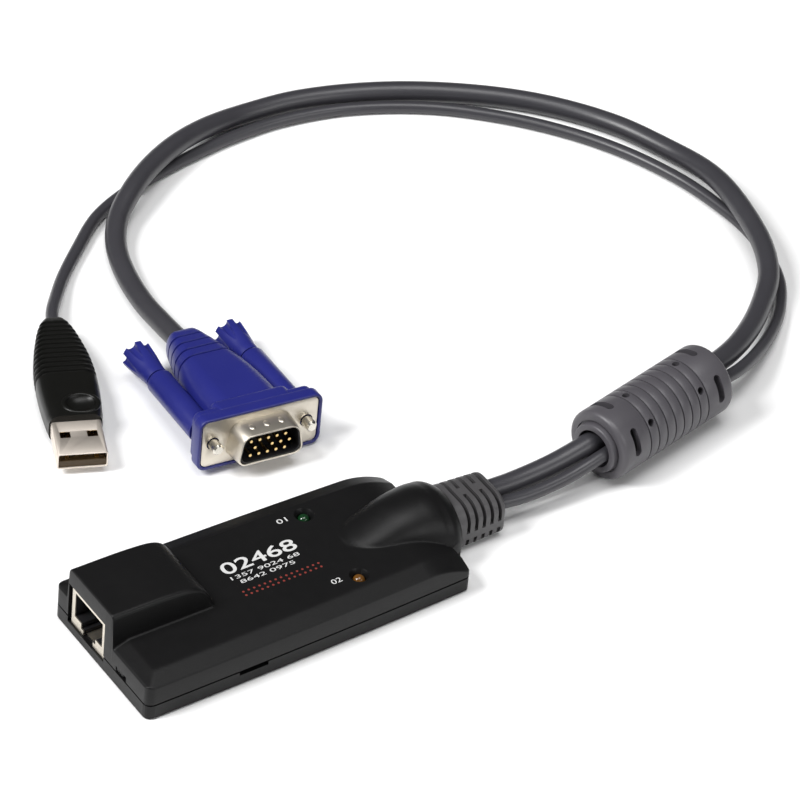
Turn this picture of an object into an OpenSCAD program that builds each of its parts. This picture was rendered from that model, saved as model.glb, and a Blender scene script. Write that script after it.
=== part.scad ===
// Interface module that joins a computer's video and keyboard ports to one network cable.
// Frame: X runs from the network jack (-X) to the cord end (+X), Y across, Z up from the
// surface it lies on.  The origin is the middle of the housing's bounding box, at its bottom.

/* [Housing] */
// length from the jack face to the end of the cable boot
overall_length = 106; // [104:1:112]
// length of the two housing covers
body_length = 88.5; // [86:0.5:90]
// width at the jack end
body_width = 40.8; // [40:0.2:46]
// narrowing of each side at the cord end
side_taper = 1.65; // [0.5:0.05:2.5]
// height of the parting line
split_z = 4.1; // [3.8:0.1:4.4]
// top of the upright side walls
wall_top = 9.6; // [9.4:0.1:10.5]
// rise of the bevel from the side walls to the flat top
bevel_rise = 1.4; // [1:0.1:2]
// width of the bevel along the sides
bevel_side = 4.2; // [3:0.1:5]
// width of the bevel at the jack end
bevel_front = 3.8; // [3:0.1:5]
// radius of the upright corners at the jack end
corner_r = 2; // [1.2:0.1:3]
// radius of the upright corners at the cord end
rear_r = 1.2; // [1:0.1:2]
// distance from the jack face at which the top starts to fall
fall_start = 76; // [72:1:80]
// fall of the top at the cord end
fall_depth = 3.8; // [2:0.1:4]
// plastic wall thickness
wall = 1.8; // [1.6:0.1:2]
// bevel round the underside
foot_bevel = 0.4; // [0.3:0.1:0.8]

/* [Jack housing hump] */
// middle of the hump across the width
hump_y = 5.1; // [4.9:0.1:5.3]
// width of the hump
hump_width = 20; // [19.8:0.1:21]
// height of the hump at the jack face
hump_top = 18.9; // [18.4:0.1:19.6]
// length of the hump
hump_length = 27.2; // [26.8:0.2:30]

/* [Network jack] */
// middle of the jack across the width
jack_y = 6.3; // [6:0.1:6.4]
// width of the metal shield
jack_width = 14.6; // [14.4:0.1:14.8]
// height of the metal shield
jack_height = 10.8; // [10.7:0.1:11]
// depth of the metal shield
jack_depth = 18; // [17:0.5:18.5]
// distance from the jack face to the shield
jack_setback = 0.5; // [0.3:0.1:0.8]
// underside of the shield
jack_z = 2.8; // [2.8:0.1:3.2]

/* [Reset switch] */
// middle of the switch across the width
switch_y = -8.8; // [-9.5:0.1:-8]
// width of the window for the slider
switch_window = 4.4; // [4.4:0.1:5]
// travel of the slider, end to end
switch_travel = 1.5; // [0.8:0.1:1.5]

/* [Indicator lamps] */
// distance of the lamps from the jack face
lamp_x = 61.6; // [58:0.2:64]
// distance of each lamp from the middle line
lamp_y = 11.8; // [11:0.1:12.5]
// radius of a lamp
lamp_r = 1.5; // [1.4:0.05:1.6]

/* [Cable boot] */
// width of the boot at the housing
boot_width = 15; // [14.6:0.1:15.2]
// height of the boot at the housing
boot_height = 12.6; // [12.2:0.1:12.8]
// narrowing of the width towards the cords
boot_taper = 1; // [0.5:0.1:2]
// width of each slot that lets the boot flex
slot_width = 1; // [0.7:0.1:1.2]

/* [Circuit board] */
// underside of the board
board_z = 2.5; // [2.4:0.1:2.6]
// board thickness
board_t = 1.6; // [1.4:0.1:1.6]

/* [Cords] */
// diameter of the video cord
video_cord_d = 5.4; // [5:0.1:5.6]
// diameter of the thinner cord
usb_cord_d = 3.2; // [3:0.1:3.4]

/* [Ferrite choke] */
// radius of the choke cover
choke_r = 9.1; // [9.1:0.1:9.6]
// length of the choke cover
choke_length = 39; // [36:0.5:40]

/* [Video plug] */
// distance between the two screws
screw_pitch = 24.99; // [24.9:0.01:25.1]
// width of the metal face plate
plate_w = 30.81; // [30.5:0.01:31]
// height of the metal face plate
plate_h = 12.55; // [12.3:0.01:12.8]
// radius of each screw
screw_r = 1.42; // [1.4:0.01:1.45]
// length of each screw's threaded tip
screw_reach = 2.5; // [2:0.1:4]
// radius of each screw behind its tip
neck_r = 1.15; // [1.05:0.01:1.2]
// gap between screw and hood
screw_gap = 0.07; // [0.03:0.01:0.09]

/* [Hidden] */
x0 = -overall_length / 2;
boot_bottom = 0.3;
boot_z = boot_bottom + boot_height / 2;
board_top = board_z + board_t;
ceiling = wall_top - 0.5;
plateau = wall_top + bevel_rise;
shaft_y = screw_pitch / 2;
video_pos = [17, 44, 8.35];
video_turn = [-3, -4.5, -94.5];
usb_pos = [-22.6, 58.9, 4.3];
usb_turn = [0, 0, -112.5];
choke_pos = [103.5, 5, choke_r];
choke_turn = 12.5;
hood_back = 40.4;
groove_depth = 0.45;
rib_depth = 0.5;
usb_back = 50.2;
plug_depth = 11.75;
joint_x = -27.8;
// route of the video cord from the boot to the video plug
video_route = [
    [overall_length / 2, 2.3, 6.5], [62, 2.2, 6.3], [73, 2, 7.4], [84, 2.4, 9.4],
    [103, 6.6, 9.4], [122, 10.8, 9.4], [134, 15, 8.2], [145, 21.5, 6.6], [155, 29.5, 5.4],
    [162.5, 37, 5.6], [167.5, 46, 6.1], [171, 57, 6.1], [173.5, 70, 5.9], [174.2, 80, 4.8],
    [172.5, 92, 3.2], [166, 109, 2.7], [154, 125, 2.7], [138.5, 138, 2.7], [120, 148.5, 2.7],
    [100, 155.2, 2.7], [83, 156.6, 2.9], [70, 154.2, 4.8], [59, 150.4, 6.1], [49, 145.8, 6.2],
    [40, 140, 5.9], [32, 133.5, 4.3], [27, 126, 2.9], [23.5, 116, 2.7], [21.3, 104, 3],
    [20.5, 93, 4.1], [20.2, 84.1, 5]
];
// route of the thinner cord from the boot to its plug
usb_route = [
    [overall_length / 2, -2.4, 6.5], [62, -3, 6], [73, -3, 6.8], [85, -2.1, 8.9],
    [104, 2.1, 8.9], [123, 6.3, 8.9], [133, 9.2, 7.6], [144, 15.4, 4.8], [153.5, 22.4, 2.6],
    [161, 29.5, 1.6], [167, 38, 1.6], [170.6, 49, 1.6], [172, 60, 1.6], [171, 72.5, 1.6],
    [168.6, 84, 1.6], [163, 98.6, 1.6], [155, 112, 1.6], [143.5, 125.5, 1.6],
    [128.5, 138, 1.6], [110, 147.2, 1.6], [92, 151.2, 1.6], [76.6, 151.2, 1.6],
    [64, 149.6, 1.6], [52, 147.2, 1.6], [40, 144, 1.6], [29, 139, 1.6], [18.5, 130.5, 1.6],
    [10, 122.8, 1.8], [3.6, 115.6, 2.8], [-0.8, 110, 3.9], [-3.4, 105.3, 4.3]
];

// outline of the covers
function half_w(x) = body_width / 2 - side_taper * pow(x / body_length, 2);
function nip(x, r) = x >= r ? 0 : r - sqrt(pow(r, 2) - pow(r - x, 2));
function edge_w(x) = half_w(x) - nip(x, corner_r) - nip(body_length - x, rear_r);
function fall(x) = x <= fall_start ? 0
    : fall_depth * pow((x - fall_start) / (body_length - fall_start), 2);
function top_ring(x) = let (
    w = edge_w(x),
    k = max(0.03, min(1, x / bevel_front)),
    h = wall_top - fall(x),
    i = w - bevel_side * k,
    p = h + bevel_rise * k
) [[w, split_z], [w, h], [i, p], [-i, p], [-w, h], [-w, split_z]];
function foot_ring(x) = let (
    w = edge_w(x),
    e = min(x, body_length - x),
    b = max(0, foot_bevel - e),
    c = foot_bevel + 0.05
) [[w, c], [w, split_z], [-w, split_z], [-w, c], [foot_bevel - w, b], [w - foot_bevel, b]];
stations = [
    0, 0.15, 0.5, 1, corner_r, bevel_front, 12, 20, 28, 36, 44, 52, 60, 68, fall_start, 78.5,
    81, 83, 84.5, body_length - rear_r, body_length - 0.7, body_length - 0.4,
    body_length - 0.15, body_length
];
foot_stations = [
    0, 0.15, foot_bevel, 1, corner_r, 12, 24, 36, 48, 60, 70, 78, 84,
    body_length - 2, body_length - 1, body_length - foot_bevel, body_length - 0.15, body_length
];

// swelling of the top cover over the cable entry: x, half width, crest height
swell = [
    [64.5, 2.2, 0.1], [66, 3.6, 0.5], [68.5, 5.3, 1.3], [71, 6.3, 2.2], [74, 7.1, 3.3],
    [77, 7.8, 4.4], [80, 8.6, 5.4], [83, 9.4, 6.5], [86, 10.3, 7.8], [88.5, 11, 8.6],
    [90, 11.1, 8.3], [91.5, 10.3, 7.5], [92.5, 9, 6.7]
];
swell_stations = concat([for (x = [64.5:1.25:87]) x], [88.5, 89.3, 90, 90.8, 91.5, 92, 92.5]);
function swell_base(x) = plateau - fall(min(x, body_length)) - 0.5;
function swell_ring(x) = let (s = smooth_row(swell, x)) concat(
    [[s[1], split_z]],
    [for (a = [0:7.5:180]) [s[1] * cos(a), swell_base(x) + (s[2] + 0.5) * pow(abs(sin(a)), 1.2)]],
    [[-s[1], split_z]]
);

// row of a table at x, on a smooth curve through its rows
function row_at(t, x) = max([for (i = [0:len(t) - 2]) if (t[i][0] <= x) i]);
function slope_at(t, i) = let (
    a = t[max(0, i - 1)],
    b = t[min(len(t) - 1, i + 1)]
) (b - a) / (b[0] - a[0]);
function smooth_row(t, x) = let (
    i = row_at(t, x),
    w = t[i + 1][0] - t[i][0],
    u = (x - t[i][0]) / w
) t[i] * (1 + 2 * u) * pow(1 - u, 2) + t[i + 1] * u * u * (3 - 2 * u)
    + w * (slope_at(t, i) * u * pow(1 - u, 2) - slope_at(t, i + 1) * u * u * (1 - u));

// solid through rings of points that run clockwise when seen along the path
module loft(rings) {
    n = len(rings);
    m = len(rings[0]);
    polyhedron(
        points = [for (r = rings) for (p = r) p],
        faces = concat(
            [[for (j = [0:m - 1]) j]],
            [for (i = [0:n - 2]) for (j = [0:m - 1]) let (a = i * m + j, b = i * m + (j + 1) % m)
                each [[a, a + m, b + m], [a, b + m, b]]],
            [[for (j = [m - 1:-1:0]) (n - 1) * m + j]]
        ),
        convexity = 6
    );
}

// polygon with rounded corners
function unit(v) = v / norm(v);
function corner(a, b, c, r, n) = let (
    u = unit(a - b),
    v = unit(c - b),
    h = acos(u * v) / 2,
    o = b + unit(u + v) * r / sin(h),
    p = b + u * r / tan(h) - o,
    q = b + v * r / tan(h) - o,
    s = atan2(p[1], p[0]),
    d = (atan2(q[1], q[0]) - s + 540) % 360 - 180
) [for (i = [0:n]) o + r * [cos(s + d * i / n), sin(s + d * i / n)]];
function rounded(pts, r, n) = [
    for (i = [0:len(pts) - 1])
        each corner(pts[(i + len(pts) - 1) % len(pts)], pts[i], pts[(i + 1) % len(pts)], r, n)
];
function box2(w, h, r, n) = rounded(
    [[w / 2, -h / 2], [w / 2, h / 2], [-w / 2, h / 2], [-w / 2, -h / 2]], r, n
);

// extrusion along X of an outline given as [y, z]
module along_x(x, len) {
    translate([x, 0, 0]) rotate([90, 0, 90]) linear_extrude(len) children();
}

// extrusion along Y of an outline given as [x, z]
module along_y(y, len) {
    translate([0, y + len, 0]) rotate([90, 0, 0]) linear_extrude(len) children();
}

// placing
module module_frame() {
    translate([x0, 0, 0]) children();
}
module video_frame() {
    translate(video_pos) rotate(video_turn) children();
}
module usb_frame() {
    translate(usb_pos) rotate(usb_turn) children();
}
module choke_frame() {
    translate(choke_pos) rotate([0, 90, choke_turn]) children();
}

// four housing screws stand at these places
module at_screws() {
    for (s = [-1, 1]) {
        translate([26, s * 15.6, 0]) children();
        translate([73, s * 14.2, 0]) children();
    }
}

// side profile of the hump: a flat roof that rounds down to the plateau
module hump_profile() {
    polygon([
        [0, split_z + 0.1], [0, hump_top - 0.5], [0.15, hump_top - 0.15], [0.5, hump_top],
        [hump_length * 0.735, hump_top - 0.6], [hump_length * 0.8, hump_top - 1.05],
        [hump_length * 0.87, hump_top - 2], [hump_length * 0.92, hump_top - 3.2],
        [hump_length * 0.95, hump_top - 4.4], [hump_length * 0.975, hump_top - 6.1],
        [hump_length, plateau - 0.6], [hump_length, split_z + 0.1]
    ]);
}

// end profile of the hump, slightly drafted, with rounded roof edges
module hump_section() {
    polygon(concat(
        [[hump_y - hump_width / 2, split_z], [hump_y - hump_width / 2, plateau - 1]],
        corner([hump_y - hump_width / 2, plateau - 1], [hump_y - hump_width / 2 + 0.5, hump_top],
            [hump_y, hump_top], 1.2, 6),
        corner([hump_y, hump_top], [hump_y + hump_width / 2 - 0.5, hump_top],
            [hump_y + hump_width / 2, plateau - 1], 1.2, 6),
        [[hump_y + hump_width / 2, plateau - 1], [hump_y + hump_width / 2, split_z]]
    ));
}

// outside of the top cover
module top_skin() {
    loft([for (x = stations) [for (p = top_ring(x)) [x, p[0], p[1]]]]);
    loft([for (x = swell_stations) [for (p = swell_ring(x)) [x, p[0], p[1]]]]);
    intersection() {
        along_y(hump_y - hump_width, 2 * hump_width) hump_profile();
        along_x(-1, hump_length + 2) hump_section();
    }
}

// inside of both covers in plan
module inner_plan(x_end) {
    polygon(concat(
        [for (x = [wall, 20, 40, 60, x_end]) [x, half_w(x) - wall]],
        [for (x = [x_end, 60, 40, 20, wall]) [x, wall - half_w(x)]]
    ));
}

// opening for the neck of the cable boot
module boot_neck(gap) {
    along_x(85, 4) translate([0, boot_z]) polygon(box2(12.4 + 2 * gap, 9.4 + 2 * gap, 3.6, 6));
}

module top_cover() {
    color([0.1, 0.1, 0.11])
    module_frame()
    union() {
        difference() {
            top_skin();
            translate([0, 0, split_z - 0.5]) linear_extrude(ceiling - split_z + 0.5) inner_plan(80);
            translate([79.5, wall - half_w(87), split_z - 0.5])
                cube([7.1, 2 * (half_w(87) - wall), 2.6]);
            translate([73, -4.5, split_z]) cube([8, 9, 11.8 - split_z]);
            translate([80.5, -6, split_z - 0.5]) cube([2, 12, 12.1 - split_z]);
            translate([82.2, -7.9, split_z - 0.5]) cube([3.8, 15.8, 12.1 - split_z]);
            boot_neck(0.1);
            along_x(body_length, 6) polygon(boot_shape(body_length, -0.1));
            translate([wall, jack_y - 9.2, split_z - 0.5])
                cube([20.5 - wall, 16.8, hump_top - 1.5 - split_z]);
            translate([20.4, jack_y - 9.2, split_z - 0.5]) cube([4.2, 16.8, 8.4]);
            translate([-1, jack_y - 7.5, split_z - 0.5])
                cube([4, 15.7, jack_z + jack_height + 0.6 - split_z]);
            translate([-1, switch_y - switch_window / 2, split_z - 0.5])
                cube([4, switch_window, 2.4]);
            for (s = [-1, 1]) {
                translate([lamp_x, s * lamp_y, 0]) {
                    cylinder(h = 20, r = lamp_r + 0.15, $fn = 48);
                    translate([0, 0, plateau - 1.1])
                        cylinder(h = 1.2, r1 = lamp_r + 0.1, r2 = 2.4, $fn = 48);
                }
            }
        }
        at_screws() difference() {
            translate([0, 0, board_top]) cylinder(h = ceiling + 0.3 - board_top, r = 2.5, $fn = 48);
            translate([0, 0, board_top - 1]) cylinder(h = 5, r = 1.15, $fn = 32);
        }
        translate([24.7, -half_w(28), 3.3]) cube([7.3, 1.4, split_z - 3.1]);
    }
}

module bottom_cover() {
    color([0.12, 0.12, 0.13])
    module_frame()
    difference() {
        union() {
            difference() {
                loft([for (x = foot_stations) [for (p = foot_ring(x)) [x, p[0], p[1]]]]);
                translate([0, 0, wall]) linear_extrude(split_z) inner_plan(body_length - wall);
            }
            for (s = [-1, 1])
                translate([body_length - 0.5, s * (boot_width / 2 + 0.9) - 0.7, 1])
                    cube([4.3, 1.4, split_z - 1]);
            at_screws() cylinder(h = board_z, r = 3, $fn = 48);
        }
        at_screws() {
            translate([0, 0, -1]) cylinder(h = 2.2, r = 2.3, $fn = 48);
            translate([0, 0, -1]) cylinder(h = 6, r = 1.2, $fn = 32);
        }
        translate([24.5, -25, 3.15]) cube([7.7, 8, 2]);
        translate([-1, jack_y - 7.5, jack_z - 0.1]) cube([4, 15.7, 2]);
        translate([body_length - 3, -6.4, 1.9]) cube([4, 12.8, 4]);
        along_x(body_length, 6) polygon(boot_shape(body_length, -0.1));
    }
}

module housing_screws() {
    color([0.55, 0.55, 0.57])
    module_frame()
    at_screws() difference() {
        union() {
            translate([0, 0, 0.15]) cylinder(h = 1, r = 2, $fn = 48);
            translate([0, 0, 1.1]) cylinder(h = 6.4, r = 1.1, $fn = 32);
        }
        translate([-0.25, -1.3, 0]) cube([0.5, 2.6, 0.7]);
        translate([-1.3, -0.25, 0]) cube([2.6, 0.5, 0.7]);
    }
}

module circuit_board() {
    color([0.05, 0.3, 0.15])
    module_frame()
    difference() {
        translate([0, 0, board_z]) linear_extrude(board_t) polygon(concat(
            [for (x = [2.3, 20, 40, 60, 79]) [x, half_w(x) - 2.4]],
            [for (x = [79, 60, 40, 20, 2.3]) [x, 2.4 - half_w(x)]]
        ));
        translate([1, jack_y - jack_width / 2 - 0.15, 0]) cube([jack_depth + 0.2, jack_width + 0.3, 10]);
        at_screws() translate([0, 0, 1]) cylinder(h = 6, r = 1.3, $fn = 32);
    }
}

// jack seen from its opening: a wide slot for the plug with a stepped slot for its latch below
module jack_opening(grow) {
    c = jack_y + 0.05;
    translate([c - 5.95 - grow, jack_z + 2.9 - grow]) square([11.9 + 2 * grow, 7 + 2 * grow]);
    translate([c - 3.1 - grow, jack_z + 1.4]) square([6.2 + 2 * grow, 3]);
    translate([c - 2.1 - grow, jack_z - 1]) square([4.2 + 2 * grow, 5]);
}

module network_jack_shield() {
    color([0.78, 0.78, 0.76])
    module_frame()
    translate([jack_setback, 0, 0]) {
        difference() {
            translate([0, jack_y - jack_width / 2, jack_z]) cube([jack_depth, jack_width, jack_height]);
            translate([0.3, jack_y - jack_width / 2 + 0.3, jack_z + 0.3])
                cube([jack_depth - 0.6, jack_width - 0.6, jack_height - 0.6]);
            along_x(-1, 2) jack_opening(0);
        }
        for (s = [-1, 1])
            translate([3, jack_y + s * (jack_width / 2 - 0.15) - 0.15, jack_z - 0.8])
                cube([1.4, 0.3, 0.85]);
    }
}

module network_jack_body() {
    color([0.06, 0.06, 0.06])
    module_frame()
    translate([jack_setback, 0, 0]) difference() {
        translate([0.32, jack_y - jack_width / 2 + 0.32, jack_z + 0.32])
            cube([jack_depth - 0.64, jack_width - 0.64, jack_height - 0.64]);
        along_x(-1, 13.5) jack_opening(0.02);
        for (i = [-3.5:3.5])
            translate([4, jack_y + 0.05 + i * 1.02 - 0.3, jack_z + 9.7]) cube([9, 0.6, 0.7]);
    }
}

module network_jack_contacts() {
    color([0.85, 0.68, 0.3])
    module_frame()
    translate([jack_setback, jack_y + 0.05, jack_z + 9.95])
        for (i = [-3.5:3.5]) translate([0, i * 1.02 - 0.17, 0]) {
            translate([5, 0, 0]) cube([7.4, 0.34, 0.3]);
            translate([5, 0, 0.02]) rotate([0, 33, 0]) cube([6.8, 0.34, 0.3]);
        }
}

module lamp(s) {
    module_frame() translate([lamp_x, s * lamp_y, 0]) {
        translate([0, 0, board_top]) cylinder(h = 2.4, r = lamp_r + 0.4, $fn = 48);
        translate([0, 0, board_top]) cylinder(h = plateau - 1.75 - board_top, r = lamp_r, $fn = 48);
        translate([0, 0, plateau - 1.75]) sphere(r = lamp_r, $fn = 48);
    }
}

module online_led() {
    color([0.1, 0.5, 0.2]) lamp(1);
}

module power_led() {
    color([0.9, 0.5, 0.1]) lamp(-1);
}

module recovery_switch_body() {
    color([0.7, 0.7, 0.7])
    module_frame()
    difference() {
        translate([2.6, switch_y - 4.2, board_top]) cube([4.6, 8.4, 3]);
        translate([1, switch_y - switch_window / 2, board_top + 0.5]) cube([3, switch_window, 1.35]);
        translate([3.6, switch_y - 3, board_top + 0.3]) cube([2.4, 6, 1.8]);
    }
}

module recovery_switch_slider() {
    color([0.03, 0.03, 0.03])
    module_frame() {
        w = switch_window - switch_travel - 0.1;
        rest_y = switch_y + switch_travel / 2;
        difference() {
            translate([0.25, rest_y - w / 2, board_top + 0.6]) cube([3.6, w, 1.15]);
            for (i = [-1.5:1.5])
                translate([0.25, rest_y + i * w / 4, board_top])
                    rotate([0, 0, 45]) translate([-0.22, -0.22, 0]) cube([0.44, 0.44, 3]);
        }
        translate([3.8, rest_y - 2, board_top + 0.45]) cube([2, 4, 1.5]);
    }
}

// leads on two opposite sides of a chip
module chip(w, d, h, n, pitch) {
    translate([-w / 2, -d / 2, 0.15]) cube([w, d, h]);
    for (i = [0:n - 1]) for (s = [-1, 1])
        translate([(i - (n - 1) / 2) * pitch - 0.2, s * (d / 2 + 0.45) - 0.55, 0])
            cube([0.4, 1.1, 0.35]);
}

module main_processor() {
    color([0.08, 0.08, 0.09])
    module_frame() translate([44, -1, board_top]) difference() {
        union() {
            chip(14, 14, 1.4, 10, 1.27);
            rotate(90) chip(14, 14, 1.4, 10, 1.27);
        }
        translate([-5.5, 5.5, 1.4]) cylinder(h = 1, r = 0.6, $fn = 24);
    }
}

module memory_chips() {
    color([0.09, 0.09, 0.1])
    module_frame()
    for (s = [-1, 1]) translate([63, s * 5.2 - 0.5, board_top]) chip(9, 5.6, 1, 6, 1.27);
}

module network_transformer() {
    color([0.07, 0.07, 0.08])
    module_frame() translate([29, 2, board_top]) rotate(90) chip(12.7, 8, 4.5, 8, 1.27);
}

module crystal() {
    color([0.8, 0.8, 0.8])
    module_frame() translate([46, 13, board_top]) union() {
        linear_extrude(0.5) polygon(box2(11, 4.6, 2.25, 8));
        translate([0, 0, 0.4]) linear_extrude(3) polygon(box2(10, 3.8, 1.85, 8));
    }
}

module capacitors() {
    color([0.75, 0.76, 0.78])
    module_frame()
    for (p = [[29, -9], [36, -14], [56, 12.5]]) translate([p[0], p[1], board_top]) {
        cylinder(h = 4.2, r = 2, $fn = 48);
        translate([-2.2, -2.2, 0]) cube([4.4, 4.4, 0.6]);
    }
}

// header that takes the cores of one cord
module header(w, n, pitch) {
    difference() {
        translate([-2, -w / 2, 0]) cube([4, w, 4]);
        translate([-1.2, 0.7 - w / 2, 1]) cube([4, w - 1.4, 4]);
    }
    for (i = [0:n - 1])
        translate([0.2, (i - (n - 1) / 2) * pitch - 0.25, 0.8]) cube([0.5, 0.5, 2.6]);
}

module video_header() {
    color([0.9, 0.88, 0.8])
    module_frame() translate([74.5, 4.4, board_top]) header(10.4, 5, 1.6);
}

module usb_header() {
    color([0.9, 0.88, 0.8])
    module_frame() translate([74.5, -5.2, board_top]) header(7.6, 4, 1.5);
}

// boot section at a distance x from the jack face, less a skin of thickness t
function boot_shape(x, t) = let (
    k = max(0, min(1, (x - body_length) / (overall_length - body_length))),
    w = (boot_width - boot_taper * k) / 2 - t,
    b = boot_bottom + 0.2 * k + t,
    h = boot_bottom + boot_height - 1.2 * k - t,
    p = [[w, b], [w, h], [-w, h], [-w, b]]
) [
    for (i = [0:3])
        each corner(p[(i + 3) % 4], p[i], p[(i + 1) % 4], (i % 3 == 0 ? 3 : 4.6 - 0.6 * k) - t, 8)
];

// one flexing slot, in two parts round the boot; a bridged one leaves the roof whole in the middle
module boot_slot(x, bridged) {
    along_x(x, slot_width) difference() {
        difference() {
            translate([-10, -5]) square([20, 24]);
            translate([-11, 3.7]) square([22, 1.9]);
            if (bridged) translate([-1.2, boot_z]) square([2.4, 13]);
        }
        polygon(boot_shape(x, 1.5));
    }
}

module cable_boot() {
    color([0.09, 0.09, 0.1])
    module_frame()
    difference() {
        union() {
            loft([for (x = [body_length + 0.1, 92, overall_length - 0.7, overall_length])
                [for (p = boot_shape(x, x == overall_length ? 0.6 : 0)) [x, p[0], p[1]]]]);
            boot_neck_solid();
        }
        for (i = [0:4]) boot_slot(94.9 + i * 2.25, i % 2 == 1);
    }
}

// neck through the end wall and the flange that holds it inside
module boot_neck_solid() {
    along_x(85.6, 3.3) translate([0, boot_z]) polygon(box2(12.4, 9.4, 3.6, 6));
    along_x(82.6, 3.2) translate([0, boot_z]) polygon(box2(15.4, 9.4, 3, 6));
}

// round cord along a route
module cord(route, d, sides) {
    p = route;
    n = len(p);
    loft([for (i = [0:n - 1]) let (
        t = unit(p[min(n - 1, i + 1)] - p[max(0, i - 1)]),
        s = unit(cross(t, [0, 0, 1])),
        u = cross(s, t)
    ) [for (k = [0:sides - 1]) p[i] + d / 2 * (cos(360 * k / sides) * u + sin(360 * k / sides) * s)]]);
}

module video_cord() {
    color([0.2, 0.2, 0.22]) cord(video_route, video_cord_d, 10);
}

module usb_cord() {
    color([0.2, 0.2, 0.22]) cord(usb_route, usb_cord_d, 8);
}

// half section of the choke cover, from the middle of its length to one end
module choke_section() {
    h = choke_length / 2;
    difference() {
        polygon([
            [4.9, -h - 0.5], [6, -h - 0.5], [6, -h + 1.2], [6.9, -h + 1.2], [6.9, -h],
            [choke_r - 1.1, -h], [choke_r - 0.35, 0.35 - h], [choke_r, 1.1 - h],
            [choke_r, h - 1.1], [choke_r - 0.35, h - 0.35], [choke_r - 1.1, h],
            [6.9, h], [6.9, h - 1.2], [6, h - 1.2], [6, h + 0.5], [4.9, h + 0.5]
        ]);
        translate([5.4, -14.05]) square([2.2, 28.1]);
        for (i = [-3.5:3.5]) translate([choke_r - 0.35, i * 2.35 - 0.15]) square([1, 0.3]);
    }
}

module ferrite_cover() {
    color([0.2, 0.2, 0.22])
    choke_frame() difference() {
        rotate_extrude($fn = 96) choke_section();
        for (a = [25:90:340]) for (s = [-1, 1]) {
            rotate(a) translate([choke_r - 1.2, -3.4, s * 14.2 - 0.75]) cube([3, 6.8, 1.5]);
            rotate(a) translate([choke_r - 1, 0, s * 7.05]) rotate([0, 90, 0])
                cylinder(h = 3, r = 0.8, $fn = 24);
        }
    }
}

module ferrite_core() {
    color([0.25, 0.25, 0.26])
    choke_frame() difference() {
        cylinder(h = 28, r = 7.55, center = true, $fn = 96);
        cylinder(h = 30, r = 5.45, center = true, $fn = 96);
    }
}

// outline of the video plug's metal skirt, wide side down
function skirt(t) = rounded([
    [7.47 - 0.84 * t, 4.18 - t], [-7.47 + 0.84 * t, 4.18 - t],
    [-8.9 + 1.19 * t, -4.18 + t], [8.9 - 1.19 * t, -4.18 + t]
], 2.5 - t, 6);

// section of the video plug hood at a distance back from its plate, less a groove's depth
function hood_ring(x, depth) = let (
    s = smooth_row(hood_rows, x),
    w = s[1] - 2 * depth,
    h = s[2] - 2 * depth
) [for (q = box2(w, h, min(w, h) * 0.42, 6)) [-x, q[0], q[1]]];
hood_rows = [
    [5.5, 19.6, 12.6], [14, 19.2, 12.4], [20, 18.2, 12], [24, 16.8, 11.5], [27.1, 15.3, 11],
    [30.3, 14, 10.4], [33.5, 12.5, 9.8], [36.7, 10.8, 9], [38.8, 9.7, 8.4], [39.9, 9, 8],
    [40.4, 8.2, 7.4]
];
hood_grooves = [37.1, 33.9, 30.7, 27.5];
hood_stations = concat(
    [[hood_back, 0], [39.9, 0], [38.8, 0]],
    [for (g = hood_grooves) each [
        [g + 0.3, 0], [g + 0.2, groove_depth], [g - 0.2, groove_depth], [g - 0.3, 0], [g - 1.6, 0]
    ]],
    [[24, 0], [22, 0], [20, 0], [17, 0], [14, 0], [10, 0], [5.5, 0]]
);

module video_plug_hood() {
    color([0.13, 0.2, 0.6])
    video_frame() difference() {
        union() {
            loft([for (s = hood_stations) hood_ring(s[0], s[1])]);
            along_x(-5.6, 5.9) polygon(box2(33, 14.4, 2.4, 6));
            along_x(-7.4, 2) polygon(box2(31.4, 12.8, 2, 6));
            for (s = [-1, 1]) translate([joint_x, s * shaft_y, 0]) rotate([0, 90, 0])
                cylinder(h = -joint_x - 5, r = 3.3, $fn = 48);
        }
        along_x(-0.65, 3) polygon(box2(plate_w + 0.1, plate_h + 0.1, 1.6, 6));
        translate([-3.1, -8.1, -4.1]) cube([4, 16.2, 8.2]);
        for (s = [-1, 1]) translate([joint_x - 1, s * shaft_y, 0]) rotate([0, 90, 0])
            cylinder(h = -joint_x + 5, r = neck_r + screw_gap, $fn = 48);
        translate([-7, 0, 24]) rotate([0, 90, 0]) cylinder(h = 6.2, r = 17.6, $fn = 96);
    }
}

module video_plug_shell() {
    color([0.8, 0.8, 0.78])
    video_frame() difference() {
        union() {
            along_x(-0.6, 0.6) polygon(box2(plate_w, plate_h, 1.55, 6));
            along_x(-0.3, 6.2) polygon(skirt(0));
            for (i = [-1:1]) translate([2.6, i * 3.9, 3.75]) sphere(r = 0.8, $fn = 24);
        }
        along_x(-3, 9) polygon(skirt(0.4));
        for (s = [-1, 1]) translate([-2, s * shaft_y, 0]) rotate([0, 90, 0])
            cylinder(h = 4, r = 1.65, $fn = 48);
    }
}

// dark insulator: a base behind the plate and a thin lining inside the skirt
module video_plug_insulator() {
    color([0.03, 0.03, 0.04])
    video_frame() difference() {
        union() {
            translate([-3, -8, -4]) cube([2.3, 16, 8]);
            along_x(-0.8, 6.4) polygon(skirt(0.45));
        }
        along_x(0.8, 9) polygon(skirt(0.75));
        video_pins(0.45);
    }
}

// three rows of five pins, the middle row half a pitch aside and one place empty
module video_pins(r) {
    for (row = [-1:1]) for (i = [-2:2])
        if (!(row == 0 && i == -1))
            translate([-2.9, i * 2.29 + (row == 0 ? 0.57 : -0.57), row * 1.98]) rotate([0, 90, 0])
                cylinder(h = 8.1, r = r, $fn = 24);
}

module video_plug_pins() {
    color([0.85, 0.7, 0.35])
    video_frame() video_pins(0.38);
}

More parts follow.
